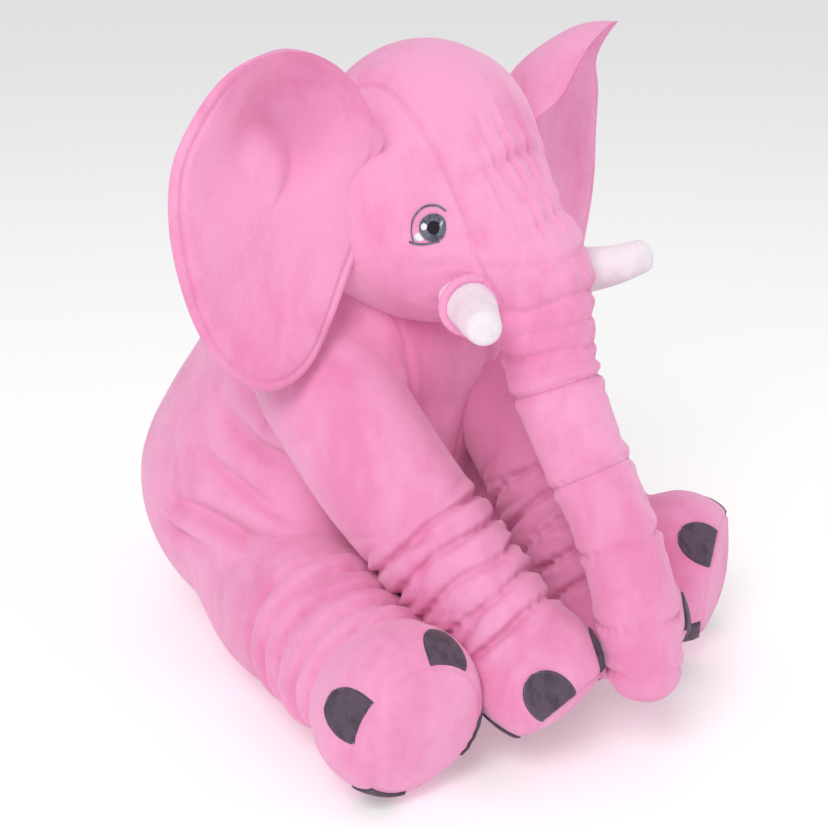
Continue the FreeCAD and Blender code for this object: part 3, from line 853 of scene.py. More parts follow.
@dataclass
class Leg:
    """One leg: its gathered cover, the sole, and four felt nails with their topstitching."""

    wardrobe: Wardrobe
    needle: Needle
    kind: LegKind
    side: int
    nail_half: float = 0.0225
    nail_height: float = 0.038
    nail_wall: float = 0.0012
    stitch_inset: float = 0.0028
    around: int = 176
    left_hind_stretch: float = 1.08

    def __post_init__(self) -> None:
        """Lay out the centre line and the side of the leg, in millimetres from its root joint."""
        name = "left" if self.side > 0 else "right"
        self.label = f"{self.kind.value}_leg_{name}"
        if self.kind is LegKind.FRONT:
            self.joint = f"{self.label}_swing"
            foot = (0.060, -0.350, 0.084)
            stops = ((0.100, -0.134, 0.296), (0.093, -0.188, 0.236), (0.080, -0.246, 0.178), foot)
            self.seams = [0.150, 0.177, 0.204, 0.231, 0.258]
            outline = (
                (-60, 0), (-57, 18), (-50, 33), (-36, 48), (-18, 57), (0, 60.5), (22, 60), (48, 60),
                (80, 59.5), (112, 58), (134, 57), (150, 55), (164, 56.5), (177, 54), (190, 55.5), (204, 52.5),
                (218, 54), (231, 50.5), (245, 52), (258, 48.5), (270, 52), (286, 56.5), (302, 57), (318, 54),
                (329, 49.5), (335, 44.5),
            )
            self.sole_radius, self.sole_dome = 0.0445, 0.008
            self.nail_angles = (55.0, -35.0, 145.0, 235.0)
            self.blend_span = (-0.045, 0.060)
        else:
            self.joint = f"{self.label}_spread"
            foot = (0.218, -0.345, 0.077) if self.side > 0 else (0.175, -0.291, 0.080)
            stops = ((0.112, -0.094, 0.085), (0.138, -0.158, 0.092), (0.158, -0.222, 0.088), foot)
            self.seams = [0.078, 0.102, 0.126, 0.150, 0.174]
            outline = (
                (-80, 0), (-76, 25), (-66, 45), (-48, 64), (-24, 76), (0, 79), (24, 78), (48, 76), (64, 73),
                (78, 70), (90, 71), (102, 67.5), (114, 68.5), (126, 65), (138, 66), (150, 63), (162, 64),
                (174, 62), (184, 66), (198, 72), (212, 73.5), (226, 71), (238, 66), (246, 59.5),
            )
            self.sole_radius, self.sole_dome = 0.0595, 0.010
            self.nail_angles = (65.0, -25.0, 155.0, 245.0) if self.side < 0 else (140.0, 50.0, 230.0, 320.0)
            self.blend_span = (-0.055, 0.060)
        stops = np.array([sided(stop, self.side) for stop in stops])
        self.strand = Strand(stops, np.array([0.0, 0.0, 1.0]))
        outline = np.array(outline, float) * MM
        if self.kind is LegKind.HIND and self.side > 0:
            outline[:, 0] *= self.left_hind_stretch
        side_line = curve_through(outline, 500)
        end_along, end_radius = side_line[-1]
        shares = np.linspace(0.0, 1.0, 60)[1:]
        dome_along = end_along + self.sole_dome * np.sin(shares * math.pi / 2)
        dome = np.stack([dome_along, end_radius * (1 - shares)], 1)
        line = np.vstack([side_line, dome[:-1]])
        length = np.concatenate([[0.0], np.cumsum(np.linalg.norm(np.diff(line, axis=0), axis=1))])
        self.rim = length[len(side_line) - 1]
        count = int(length[-1] / 0.0019)
        self.walk = np.linspace(length[3], length[-1], count)
        self.profile_walk, self.profile = length, line

    def outline_at(self, walk: Array) -> tuple[Array, Array]:
        """Return the length along the leg and the radius at a walk down its side."""
        return tuple(np.interp(walk, self.profile_walk, self.profile[:, axis]) for axis in (0, 1))

    def skin_points(self, walk: Array, angle: Array) -> Array:
        """Return points on the plain side of the leg."""
        along, radius = self.outline_at(walk)
        points = self.strand.place(along, -angle * self.side, radius)
        if self.kind is LegKind.HIND:
            points[..., 2] = np.maximum(points[..., 2], 1.5 * MM)
        return points

    def relief(self, walk: Array, angle: Array) -> Array:
        """Return the gathers, the creases and the sole seam."""
        along, radius = self.outline_at(walk)
        front = self.kind is LegKind.FRONT
        seed = 11 if front else 23
        depth = (6.0 if front else 4.8) * MM
        total = gathers(along, angle, self.seams, seed, depth, 3.0 * MM)
        span = (self.seams[0] - 0.03, self.seams[-1] + 0.004)
        girth = math.tau * 0.055
        total = total + creases(along, angle * 0.055, seed + 7, 30 if front else 26, span, girth, 4.2 * MM)
        total -= 2.4 * MM * hump(walk - self.rim, 2.2 * MM)
        total += 0.5 * MM * hump(walk - self.rim, 7.0 * MM) * waves(angle, seed + 5, 24, 44, 8)
        total += 0.8 * MM * waves(angle, seed + 9, 2, 5) * hump(walk - self.rim, 40.0 * MM)
        return total * fade(along, 0.02, 0.09)

    def cover(self) -> bpy.types.Object:
        """Build the leg's cover, with its sole."""
        angle = np.linspace(0.0, math.tau, self.around, endpoint=False)
        walk, turn = np.meshgrid(self.walk[:-1], angle, indexing="ij")
        points, faces = closed_loft(self.skin_points(walk, turn))
        thing = mesh_object(f"{self.label}_cover", points, faces)
        outwards(thing)
        relief = np.concatenate([self.relief(walk, turn).ravel(), [0.0, 0.0]])
        set_coordinates(thing, coordinates(thing) + normals(thing) * relief[:, None])
        self.wardrobe.dress(thing, "pink_plush", "pink_plush")
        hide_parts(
            *(f"{self.label}_{node}" for node in ("cover", "filling", "elastics", "sole"))
        )
        return thing

    def nails(self, skin: BVHTree) -> tuple[bpy.types.Object, bpy.types.Object]:
        """Build the felt nails and the stitching just inside their arched edges."""
        columns, rows = 25, 17
        points, faces, seams = [], [], []
        lean = np.linspace(-1.0, 1.0, columns)
        rise = np.linspace(0.0, 1.0, rows)
        _, radius = self.outline_at(self.rim - 0.5 * self.nail_height)
        for degrees in self.nail_angles:
            start = len(points) * rows * columns
            across, up = np.meshgrid(lean, rise)
            half = self.nail_half * np.sqrt(np.clip(1.0 - up**2.6, 0.0, 1.0)) ** 1.1
            half = np.maximum(half, 0.4 * MM)
            walk = self.rim - 1.6 * MM - up * self.nail_height
            turn = math.radians(degrees) + across * half / radius
            place = self.skin_points(walk, turn).reshape(-1, 3)
            edge = np.maximum(np.abs(across), 2.0 * np.abs(up - 0.5)).ravel()
            lift = self.nail_wall * (1.0 - fade(edge, 0.93, 1.0)) - 0.5 * MM * fade(edge, 0.93, 1.0)
            points.append(laid_on(skin, place, lift + 0.3 * MM))
            cell = (np.arange(rows - 1)[:, None] * columns + np.arange(columns - 1)).ravel() + start
            faces += np.stack([cell, cell + 1, cell + 1 + columns, cell + columns], 1).tolist()
            arch = np.linspace(0.0, math.pi, 60)
            line_half = (self.nail_half - self.stitch_inset) * np.cos(arch)
            up_way = np.clip(np.sin(arch), 0.0, 1.0) ** 0.80 * (1.0 - self.stitch_inset / self.nail_height)
            line_walk = self.rim - 3.4 * MM - up_way * self.nail_height
            line = self.skin_points(line_walk, math.radians(degrees) + line_half / radius)
            seams.append(laid_on(skin, line, self.nail_wall + 0.45 * MM))
        felt = mesh_object(f"{self.label}_nails", np.vstack(points), faces)
        solid = felt.modifiers.new("felt", "SOLIDIFY")
        solid.thickness = 0.8 * MM
        solid.offset = 0.0
        outwards(baked(felt))
        self.wardrobe.dress(felt, "nail_felt", "toenail_felt")
        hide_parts(f"{self.label}_toenails")
        sizes = (2.6 * MM, 2.3 * MM, 0.55 * MM)
        thread = self.needle.sew(f"{self.label}_topstitch", seams, "topstitch", *sizes)
        return felt, thread

    def build(self) -> list[bpy.types.Object]:
        """Build and dress the leg, and hang its nails and stitching on the leg's empty."""
        cover = self.cover()
        felt, thread = self.nails(nearest_skin(cover))
        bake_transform(cover)
        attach(felt, self.label)
        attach(thread, self.label)
        return [cover, felt, thread]


@dataclass
class Head:
    """The head: cheeks, forehead panel with its gathers, and the snout."""

    wardrobe: Wardrobe
    jaw: tuple = (0.0, -0.150, 0.455)
    jaw_radius: float = 0.105
    dome: tuple = (0.0, -0.152, 0.500)
    dome_radius: float = 0.093
    nose: tuple = (0.0, -0.252, 0.418)
    nose_radius: float = 0.063
    trunk_root_radius: float = 0.042
    step: float = 0.0042
    swell: float = 0.003

    SEAM = (
        (0.082, -0.120, 0.560), (0.078, -0.165, 0.572), (0.072, -0.200, 0.550), (0.064, -0.228, 0.515),
        (0.055, -0.250, 0.468), (0.050, -0.262, 0.435), (0.046, -0.285, 0.402),
    )
    CREASES = ((0.505, 2.6, 5.0), (0.462, 3.6, 5.0), (0.436, 2.4, 4.0), (0.402, 3.6, 5.0))

    def field(self, points: Array) -> Array:
        """Return the distance to the head."""
        jaw = np.linalg.norm(points - self.jaw, axis=1) - self.jaw_radius
        dome = np.linalg.norm(points - self.dome, axis=1) - self.dome_radius
        snout = rod_field(points, self.jaw, self.nose, self.jaw_radius - 0.008, self.nose_radius)
        root = np.linalg.norm(points - JOINTS["trunk_lift"], axis=1) - self.trunk_root_radius
        head = smooth_min(smooth_min(jaw, dome, 0.03), snout, 0.03)
        return smooth_min(head, root, 0.03)

    def relief(self, points: Array) -> Array:
        """Return the panel seams, the gathers over the nose and the folds round the snout."""
        folded = points.copy()
        folded[:, 0] = np.abs(folded[:, 0])
        x, y, z = points.T
        line = onto(self.field, curve_through(self.SEAM, 40))
        gap = line_distance(folded, line)[0]
        total = -3.0 * MM * hump(gap, 2.4 * MM)
        seam_x = np.interp(-y, -line[:, 1], line[:, 0])
        inside = fade(seam_x - folded[:, 0], 0.0, 0.012) * fade(-y, 0.12, 0.16)
        total += 2.2 * MM * inside * hump(gap - 0.014, 0.014)
        front = fade(-y, 0.215, 0.245)
        for height, depth, width in self.CREASES:
            wander = height + 0.004 * np.sin(46.0 * x + 300.0 * height) - 3.0 * x * x
            groove = hump(z - wander, width * MM)
            lips = hump(z - wander - 2.2 * width * MM, 1.3 * width * MM)
            total -= 1.45 * depth * MM * (groove - 0.4 * lips) * front * hump(x, 0.060)
        pucker = np.sin(430.0 * x + 2.5 * np.sin(37.0 * z))
        pucker = pucker + 0.6 * np.sin(690.0 * x + 1.5 * np.sin(61.0 * z) + 1.0)
        band = fade(z, 0.440, 0.462) * (1.0 - fade(z, 0.520, 0.560))
        total += 1.7 * MM * pucker * band * front * hump(x, 0.048)
        under = fade(z, 0.37, 0.40) * (1.0 - fade(z, 0.425, 0.44))
        total += 0.7 * MM * np.sin(300.0 * x + 4.0 * np.sin(80.0 * z)) * under * front
        return total

    def build(self) -> bpy.types.Object:
        """Build and dress the head."""
        points, faces = surface_net(self.field, (-0.125, -0.34, 0.33), (0.125, -0.03, 0.61), self.step)
        points = onto(self.field, relaxed(points, faces, 3))
        cover = mesh_object("head_cover", points, faces)
        swollen(cover, self.swell)
        finer(cover)
        emboss(cover, self.relief)
        self.wardrobe.dress(cover, "pink_plush", "pink_plush")
        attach(cover, "head")
        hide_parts("forehead_gusset", "cheek_left", "cheek_right", "chin_panel", "head_filling")
        return cover


@dataclass
class Eye:
    """One embroidered eye, in satin stitch on the cheek."""

    wardrobe: Wardrobe
    needle: Needle
    side: int
    centre: tuple = (0.070, -0.230, 0.457)
    facing: tuple = (0.84, -0.50, 0.20)

    LID = ((9.0, 13.0), (2.0, 16.5), (-8.0, 15.5), (-15.5, 7.0), (-17.0, -4.0), (-15.0, -14.0))
    LOWER_LID = ((-18.0, -13.0), (-10.0, -14.5), (-2.0, -13.5), (5.0, -11.5))

    def spread(self, skin: BVHTree, flat: Array, lift: float) -> Array:
        """Lay places given in millimetres towards the nose and up onto the cheek."""
        aim = unit(sided(self.facing, self.side))
        nose = unit(np.cross((0.0, 0.0, 1.0), aim)) * -self.side
        rise = np.cross(nose, aim) * self.side
        rise = rise if rise[2] > 0 else -rise
        flat = np.asarray(flat, float) * MM
        points = sided(self.centre, self.side) + flat[:, :1] * nose + flat[:, 1:2] * rise
        return laid_on(skin, points, lift)

    def patch(self, skin: BVHTree, name: str, outline: Array, lift: float, finish: str) -> bpy.types.Object:
        """Fill an outline with a slightly raised patch of close thread."""
        outline = np.asarray(outline, float)
        middle = outline.mean(0)
        rings = [middle + (outline - middle) * share for share in (1.04, 1.0, 0.8, 0.6, 0.4, 0.2)]
        lifts = (-0.6, lift * 0.8, lift, lift * 1.1, lift * 1.15, lift * 1.2)
        points = [self.spread(skin, ring, height * MM) for ring, height in zip(rings, lifts)]
        points.append(self.spread(skin, middle[None], lift * 1.2 * MM))
        count = len(outline)
        faces = []
        for ring in range(len(rings) - 1):
            faces += band(ring * count, (ring + 1) * count, count)
        base, pole = (len(rings) - 1) * count, len(rings) * count
        faces += [[base + c, base + (c + 1) % count, pole] for c in range(count)]
        faces.append(list(range(count))[::-1])
        thing = mesh_object(name, np.vstack(points), faces)
        aim = Vector(sided(self.facing, self.side))
        if sum((p.normal.dot(aim) * p.area for p in thing.data.polygons[:-1]), 0.0) < 0:
            thing.data.flip_normals()
        return self.wardrobe.dress(thing, finish, "eye_thread")

    def build(self, skin: BVHTree) -> list[bpy.types.Object]:
        """Build the eye's patches and threads."""
        name = "left" if self.side > 0 else "right"
        turn = np.linspace(0.0, math.tau, 40, endpoint=False)
        circle = np.stack([np.cos(turn), np.sin(turn)], 1)
        iris = self.patch(skin, f"iris_{name}", circle * 10.6, 0.7, "slate_thread")
        pupil = self.patch(skin, f"pupil_{name}", circle * 5.0 + (0.5, 0.0), 1.2, "dark_thread")
        corner = self.patch(
            skin, f"eye_white_{name}", circle * (4.2, 3.4) + (-10.5, -8.0), 0.45, "white_thread"
        )
        sparks = [
            self.patch(skin, f"eye_light_{name}", circle * (2.6, 3.0) + (-7.0, 0.5), 1.5, "white_thread"),
            self.patch(skin, f"eye_glint_{name}", circle * (1.5, 3.4) + (6.6, 3.0), 1.2, "white_thread"),
        ]
        rays = []
        for angle in np.linspace(0.0, math.tau, 72, endpoint=False):
            ray = np.array([math.cos(angle), math.sin(angle)])
            rays.append(self.spread(skin, np.array([ray * 7.2, ray * 9.2]), 1.1 * MM))
        close, wide = (1.9 * MM, 4.0 * MM, 0.75 * MM), (1.1 * MM, 1.9 * MM, 1.1 * MM)
        threads = self.needle.sew(f"iris_threads_{name}", rays, "slate_thread", *close)
        lid, low = curve_through(self.LID, 60), curve_through(self.LOWER_LID, 40)
        doubled = [line + (0.0, shift) for line in (lid, low) for shift in (0.0, 0.8)]
        lines = [self.spread(skin, line, 0.7 * MM) for line in doubled]
        brow = self.needle.sew(f"eyelid_threads_{name}", lines, "slate_thread", *wide)
        pieces = [iris, pupil, corner, *sparks, threads, brow]
        for piece in pieces:
            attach(piece, "head")
        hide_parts(f"eye_{name}")
        return pieces


@dataclass
class Tusk:
    """One white tusk and the pink collar that it is sewn into."""

    wardrobe: Wardrobe
    side: int
    tip_rise: tuple = (0.011, -0.010)
    radii: tuple = (0.0215, 0.0205, 0.0145)
    tip_round: float = 0.010
    collar_at: float = 0.026
    collar_radius: float = 0.0232
    collar_cord: float = 0.0042

    STOPS = ((0.048, -0.244, 0.397), (0.064, -0.268, 0.397), (0.086, -0.296, 0.400), (0.106, -0.321, 0.407))

    def build(self) -> list[bpy.types.Object]:
        """Build and dress the tusk and its collar."""
        name = "left" if self.side > 0 else "right"
        rise = self.tip_rise[0] if self.side > 0 else self.tip_rise[1]
        stops = np.array([sided(stop, self.side) for stop in self.STOPS])
        stops[:, 2] += rise * np.linspace(0.0, 1.0, len(stops)) ** 1.6
        strand = Strand(stops, np.array([0.0, 0.0, 1.0]))
        length = strand.along[-1]
        shoulder = length - self.tip_round
        dome = shoulder + self.tip_round * np.sin(np.linspace(0.05, 1.55, 18))
        along = np.concatenate([np.linspace(0.0, shoulder, 50), dome])
        radius = np.interp(along, [0.0, 0.35 * length, shoulder], self.radii)
        tip = np.clip((along - shoulder) / (1.01 * self.tip_round), 0.0, 1.0)
        radius = radius * np.sqrt(1.0 - tip**2)
        angle = np.linspace(0.0, math.tau, 64, endpoint=False)
        reach, turn = np.meshgrid(along, angle, indexing="ij")
        squeeze = 1.0 + 0.02 * waves(turn, 5, 2, 5) * hump(reach - 0.03, 0.03)
        points, faces = closed_loft(strand.place(reach, turn, radius[:, None] * squeeze))
        cover = mesh_object(f"tusk_{name}", points, faces)
        outwards(cover)
        seat, aim, side, across = (part[0] for part in strand.at(np.array([self.collar_at])))
        turns = (np.linspace(0.0, math.tau, count, endpoint=False) for count in (96, 20))
        around, bead = np.meshgrid(*turns, indexing="ij")
        cord = self.collar_cord * (1.0 + 0.10 * waves(around, 8, 14, 30, 8))
        ring_radius = self.collar_radius + cord * np.cos(bead)
        out = np.cos(around)[..., None] * side + np.sin(around)[..., None] * across
        ring = seat + out * ring_radius[..., None] + aim * (cord * np.sin(bead))[..., None]
        columns, beads = ring.shape[:2]
        quads = []
        for column in range(columns):
            for row in range(beads):
                a, b = column * beads, ((column + 1) % columns) * beads
                quads.append([a + row, b + row, b + (row + 1) % beads, a + (row + 1) % beads])
        collar = mesh_object(f"tusk_collar_{name}_trim", ring.reshape(-1, 3), quads)
        outwards(collar)
        self.wardrobe.dress(cover, "tusk_velour", "tusk_plush")
        self.wardrobe.dress(collar, "pink_plush", "pink_plush")
        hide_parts(f"tusk_cover_{name}", f"tusk_filling_{name}")
        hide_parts(f"tusk_collar_{name}")
        for piece in (cover, collar):
            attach(piece, "head")
        return [cover, collar]


@dataclass
class Ear:
    """One padded ear with a rim seam and a rolled upper edge."""

    wardrobe: Wardrobe
    side: int
    root: tuple = (0.098, -0.165, 0.480)
    sweep: float = 16.0
    half: float = 0.0085
    roll_radius: float = 0.0165
    roll_depth: float = 0.050
    left_droop: float = 0.12

    OUTLINE = (
        (0.000, 0.062), (0.014, 0.092), (0.042, 0.120), (0.080, 0.134), (0.112, 0.118), (0.141, 0.082),
        (0.163, 0.040), (0.166, -0.020), (0.154, -0.080), (0.132, -0.124), (0.103, -0.150), (0.082, -0.155),
        (0.052, -0.142), (0.026, -0.108), (0.006, -0.072), (-0.008, -0.040), (-0.012, 0.000), (-0.010, 0.040),
    )
    MIDDLE = (0.080, -0.010)

    def build(self) -> bpy.types.Object:
        """Build and dress the ear."""
        name = "left" if self.side > 0 else "right"
        around, rings = 260, 44
        stops = np.array(self.OUTLINE)
        closed = np.vstack([stops[-2:], stops, stops[:3]])
        fine = curve_through(closed, 2400)
        fine = fine[int(2400 * 2 / (len(closed) - 1)) : int(2400 * (2 + len(stops)) / (len(closed) - 1))]
        length = np.concatenate([[0.0], np.cumsum(np.linalg.norm(np.diff(fine, axis=0), axis=1))])
        even = np.linspace(0.0, length[-1], around, endpoint=False)
        outline = np.stack([np.interp(even, length, fine[:, axis]) for axis in (0, 1)], 1)
        middle = np.array(self.MIDDLE)
        share = np.sin(np.linspace(0.0, math.pi / 2, rings)) ** 0.85
        skins = []
        for face in (1.0, -1.0):
            flat = middle + (outline - middle)[None] * share[:, None, None]
            skins.append(self.shaped(flat, outline, share, face))
        front, back = skins
        points = np.vstack([front.reshape(-1, 3), back[:-1].reshape(-1, 3)])
        base, rim = rings * around, (rings - 1) * around
        faces = []
        for ring in range(1, rings - 1):
            faces += band(ring * around, (ring + 1) * around, around)
        for ring in range(1, rings - 2):
            faces += band(base + (ring + 1) * around, base + ring * around, around)
        faces += band(rim, base + rim - around, around)
        faces.append(list(range(around, 2 * around))[::-1])
        faces.append(list(range(base + around, base + 2 * around)))
        thing = mesh_object(f"ear_{name}", points, faces)
        outwards(thing)
        self.wardrobe.dress(thing, "pink_plush", "pink_plush")
        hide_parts(f"ear_front_{name}", f"ear_back_{name}", f"ear_padding_{name}")
        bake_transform(thing)
        return thing

    def shaped(self, flat: Array, outline: Array, share: Array, face: float) -> Array:
        """Bend one face of the ear out of its plane.

        Args:
            flat: rings of places across and up in the ear's plane.
            outline: the ear's edge, as the last ring.
            share: of the way from the middle to the edge, for each ring.
            face: 1 for the front and -1 for the back.

        Returns:
            The rings in the model's frame.
        """
        across, up = flat[..., 0], flat[..., 1]
        edge = np.linalg.norm(outline[None] - flat, axis=2)
        thick = self.half * np.sqrt(np.clip(1.0 - share**14, 0.0, 1.0))[:, None] * np.ones_like(across)
        thick -= 2.2 * MM * hump(edge - 0.009, 0.0022) * (share < 0.995)[:, None]
        upper = fade(outline[:, 1], 0.005, 0.090) * (1.0 - fade(outline[:, 0], 0.075, 0.150))
        bend = np.maximum(0.85 * upper, 1e-3)[None] / self.roll_radius
        beyond = np.clip(self.roll_depth - edge, 0.0, None)
        outward = unit(outline - np.array(self.MIDDLE))[None]
        lean = np.sin(bend * beyond) / bend - beyond + 0.034 * upper[None] * share[:, None] ** 3
        forward = 1.2 * (1.0 - np.cos(bend * beyond)) / bend
        across = across + outward[..., 0] * lean
        up = up + outward[..., 1] * lean
        forward = forward - 0.020 * hump(edge - 0.062, 0.020) * upper[None]
        cup = 0.020 * fade(np.abs(up + 0.01), 0.04, 0.17) + 0.012 * fade(across, 0.10, 0.17)
        dish = 0.010 * hump(across - 0.06, 0.05) * hump(up, 0.10)
        waver = 1.6 * MM * np.sin(52.0 * up + 30.0 * across) * fade(across, 0.03, 0.08)
        pucker = 1.6 * MM * np.sin(330.0 * up) * hump(across, 0.022) * hump(up + 0.02, 0.06)
        ahead = cup - dish + forward + waver + pucker + face * thick
        swept = math.radians(self.sweep)
        out = np.array([math.cos(swept), math.sin(swept), 0.0])
        ahead_way = np.array([math.sin(swept), -math.cos(swept), 0.0])
        points = np.array(self.root) + across[..., None] * out + ahead[..., None] * ahead_way
        droop = self.left_droop * (self.side > 0)
        up = np.where(up > 0.0, 1.0 - droop, 1.0) * up
        points = points + up[..., None] * np.array([0.0, 0.0, 1.0])
        weights = np.hanning(15)[1:-1]
        weights = weights / weights.sum()
        points = sum(weight * np.roll(points, step, axis=1) for step, weight in zip(range(-6, 7), weights))
        return points * (self.side, 1.0, 1.0)


@dataclass
class Trunk:
    """The hanging trunk in three parts that meet at gathered seams."""

    wardrobe: Wardrobe
    around: int = 160
    seam_heights: tuple = (0.374, 0.352, 0.320, 0.252, 0.200, 0.140, 0.098)
    splits: tuple = (0.320, 0.252)
    mean_radius: float = 0.036

    STOPS = (
        (0.0, -0.258, 0.418), (0.0, -0.286, 0.388), (0.0, -0.301, 0.335), (0.0, -0.327, 0.285),
        (0.0, -0.352, 0.246), (0.0, -0.377, 0.207), (0.0, -0.399, 0.155), (0.0, -0.411, 0.100),
        (0.0, -0.412, 0.068),
    )
    GIRTH = (
        (0.418, 0.045), (0.388, 0.0415), (0.335, 0.0385), (0.285, 0.0365), (0.246, 0.035), (0.207, 0.0345),
        (0.155, 0.0355), (0.120, 0.0345), (0.098, 0.0325), (0.082, 0.029), (0.074, 0.023), (0.069, 0.012),
        (0.068, 0.003),
    )

    def __post_init__(self) -> None:
        """Lay out the centre line."""
        self.strand = Strand(np.array(self.STOPS), np.array([0.0, -1.0, 0.3]), 600)

    def along_at(self, height: float) -> float:
        """Return the length along the trunk where its middle is at a height."""
        return float(np.interp(-height, -self.strand.line[:, 2], self.strand.along))

    def part(self, name: str, low: float, high: float) -> bpy.types.Object:
        """Build the part of the trunk between two lengths."""
        along = np.linspace(low, high, max(int((high - low) / 0.0016), 8))
        angle = np.linspace(0.0, math.tau, self.around, endpoint=False)
        reach, turn = np.meshgrid(along, angle, indexing="ij")
        heights = np.interp(reach, self.strand.along, self.strand.line[:, 2])
        table = np.array(self.GIRTH)[::-1]
        radius = np.interp(heights, table[:, 0], table[:, 1])
        seams = [self.along_at(height) for height in self.seam_heights]
        relief = gathers(reach, turn, seams, 71, 3.4 * MM, 3.0 * MM)
        span, girth = (seams[0] - 0.02, seams[-1]), math.tau * self.mean_radius
        relief += creases(reach, turn * self.mean_radius, 93, 20, span, girth, 2.0 * MM)
        relief = relief * (1.0 - fade(reach, seams[-1] + 0.012, seams[-1] + 0.03))
        points, faces = closed_loft(self.strand.place(reach, turn, radius + relief))
        thing = mesh_object(f"{name}_skin", points, faces)
        outwards(thing)
        self.wardrobe.dress(thing, "pink_plush", "pink_plush")
        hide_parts(f"{name}_cover", f"{name}_filling", f"{name}_elastics")
        return thing

    def build(self) -> list[bpy.types.Object]:
        """Build the three parts and return them."""
        cuts = [self.along_at(height) for height in self.splits]
        ends = [0.0, *cuts, self.strand.along[-1]]
        pieces = []
        for number, (name, above, spans) in enumerate(
            (
                ("trunk_upper", "head", (0.404, 0.345)),
                ("trunk_middle", "trunk_upper", (0.312, 0.262)),
                ("trunk_tip", "trunk_middle", (0.240, 0.178)),
            )
        ):
            piece = self.part(name, ends[number], ends[number + 1])
            start, end = (self.strand.at(np.array([self.along_at(height)]))[0][0] for height in spans)
            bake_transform(piece)
            pieces.append(piece)
        return pieces


@dataclass
class Tail:
    """The short tail with its tuft."""

    wardrobe: Wardrobe
    aim: tuple = (0.0, 0.6, -0.8)

    SKIN = ((0.0, 0.015), (0.03, 0.0135), (0.06, 0.0108), (0.100, 0.0105), (0.108, 0.004))
    TUFT = ((0.098, 0.008), (0.108, 0.0145), (0.120, 0.0168), (0.131, 0.012), (0.1365, 0.002))

    def build(self) -> list[bpy.types.Object]:
        """Build and dress the tail and the tuft."""
        root = JOINTS["tail_swing"]
        aim = np.array(self.aim)
        stops = np.array([root - aim * 0.02, root + aim * 0.03, root + aim * 0.115])
        strand = Strand(stops, np.array([1.0, 0.0, 0.0]))
        angle = np.linspace(0.0, math.tau, 72, endpoint=False)
        pieces = []
        for name, finish, stops in (
            ("tail_skin", "pink_plush", self.SKIN),
            ("tail_tuft_pile", "tuft_pile", self.TUFT),
        ):
            along = np.linspace(stops[0][0], stops[-1][0], 90)
            reach, turn = np.meshgrid(along, angle, indexing="ij")
            shape = curve_through(np.array(stops), 80)
            radius = np.interp(reach, shape[:, 0], shape[:, 1])
            if name == "tail_tuft_pile":
                radius = radius * (1.0 + 0.10 * waves(turn, 4, 9, 20, 8) * hump(reach - 0.122, 0.012))
            else:
                radius = radius + 0.5 * MM * waves(turn, 6, 2, 6) * hump(reach - 0.05, 0.03)
            points, faces = closed_loft(strand.place(reach, turn, radius))
            thing = mesh_object(name, points, faces)
            outwards(thing)
            self.wardrobe.dress(thing, finish, finish)
            pieces.append(thing)
        skin, tuft = pieces
        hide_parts("tail_cord")
        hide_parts("tail_tuft")
        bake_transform(skin)
        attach(tuft, "tail")
        return pieces


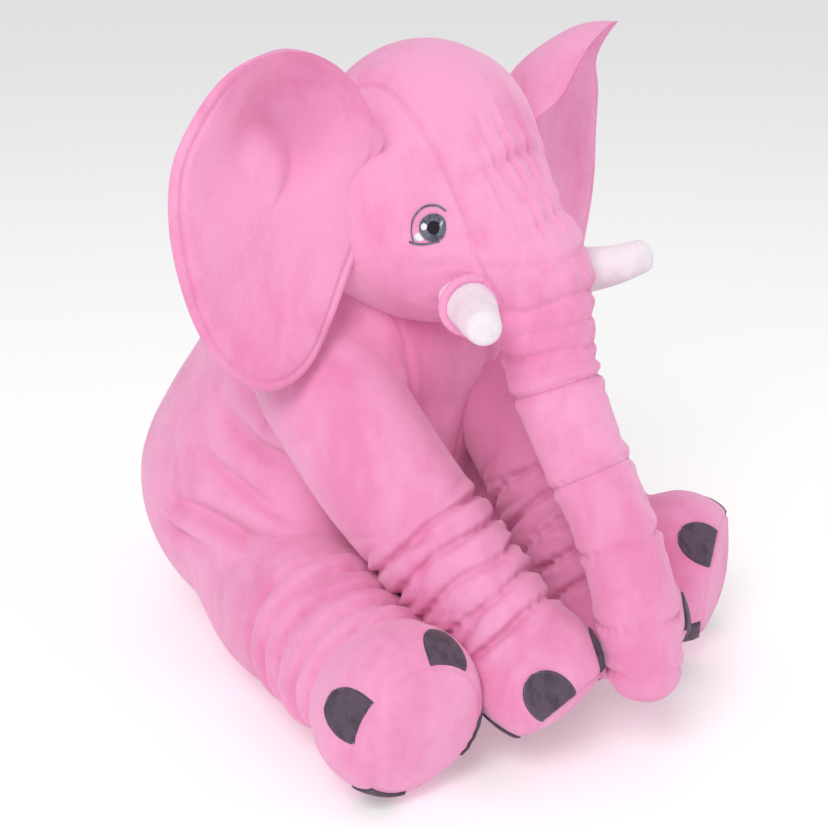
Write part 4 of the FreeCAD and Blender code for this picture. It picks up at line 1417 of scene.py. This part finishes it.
@dataclass
class Studio:
    """The pale floor, the soft lights and the camera."""

    wardrobe: Wardrobe
    target: tuple = (0.0, -0.12, 0.28)
    azimuth: float = -45.0
    elevation: float = 20.0
    distance: float = 1.5
    lens: float = 70.43
    shift: tuple = (0.018, -0.045)

    def lamp(self, name: str, place: tuple, size: float, power: float) -> None:
        """Hang one soft square lamp that looks at the elephant."""
        light = bpy.data.lights.new(name, "AREA")
        light.size, light.energy = size, power
        thing = bpy.data.objects.new(name, light)
        bpy.context.scene.collection.objects.link(thing)
        thing.location = place
        thing.rotation_euler = (Vector(self.target) - Vector(place)).to_track_quat("-Z", "Y").to_euler()

    def build(self) -> None:
        """Set the floor, the lights, the world and the camera."""
        scene = bpy.context.scene
        scene.view_settings.view_transform = "Standard"
        corners = 40.0 * np.array([(-1, -1, 0), (1, -1, 0), (1, 1, 0), (-1, 1, 0)])
        floor = mesh_object("floor", corners, [[0, 1, 2, 3]])
        plain = bpy.data.materials.new("pale_floor")
        plain.use_nodes = True
        surface = plain.node_tree.nodes["Principled BSDF"]
        surface.inputs["Base Color"].default_value = Tone.FLOOR.value
        surface.inputs["Roughness"].default_value = 0.8
        surface.inputs["Emission Color"].default_value = (1.0, 1.0, 1.0, 1.0)
        surface.inputs["Emission Strength"].default_value = 0.22
        floor.data.materials.append(plain)
        world = bpy.data.worlds.new("studio")
        world.use_nodes = True
        world.node_tree.nodes["Background"].inputs["Color"].default_value = (1.0, 0.99, 1.0, 1.0)
        world.node_tree.nodes["Background"].inputs["Strength"].default_value = 0.55
        scene.world = world
        self.lamp("key", (-1.9, -1.2, 2.3), 1.2, 38.0)
        self.lamp("fill", (1.4, -2.3, 1.4), 1.8, 10.0)
        self.lamp("top", (0.3, 0.6, 2.6), 1.6, 6.0)
        turn, rise = math.radians(self.azimuth), math.radians(self.elevation)
        back = Vector((math.sin(turn) * math.cos(rise), -math.cos(turn) * math.cos(rise), math.sin(rise)))
        camera = bpy.data.objects.new("camera", bpy.data.cameras.new("camera"))
        camera.data.lens = self.lens
        camera.data.shift_x, camera.data.shift_y = self.shift
        camera.location = Vector(self.target) + back * self.distance
        camera.rotation_euler = (-back).to_track_quat("-Z", "Y").to_euler()
        scene.collection.objects.link(camera)
        scene.camera = camera


def main() -> None:
    """Build every sub-assembly in order."""
    logging.basicConfig(level=logging.INFO, format="%(name)s: %(message)s")
    wardrobe = Wardrobe()
    needle = Needle(wardrobe)
    Studio(wardrobe).build()
    pieces = [Torso(wardrobe).build()]
    head = Head(wardrobe).build()
    pieces.append(head)
    skin = nearest_skin(head)
    for side in (1, -1):
        pieces += Eye(wardrobe, needle, side).build(skin)
        pieces += Tusk(wardrobe, side).build()
        pieces.append(Ear(wardrobe, side).build())
        for kind in LegKind:
            pieces += Leg(wardrobe, needle, kind, side).build()
    pieces += Trunk(wardrobe).build()
    pieces += Tail(wardrobe).build()
    for piece in pieces:
        LOG.info("%s: %d faces", piece.name, len(piece.data.polygons))


if __name__ == "__main__":
    main()
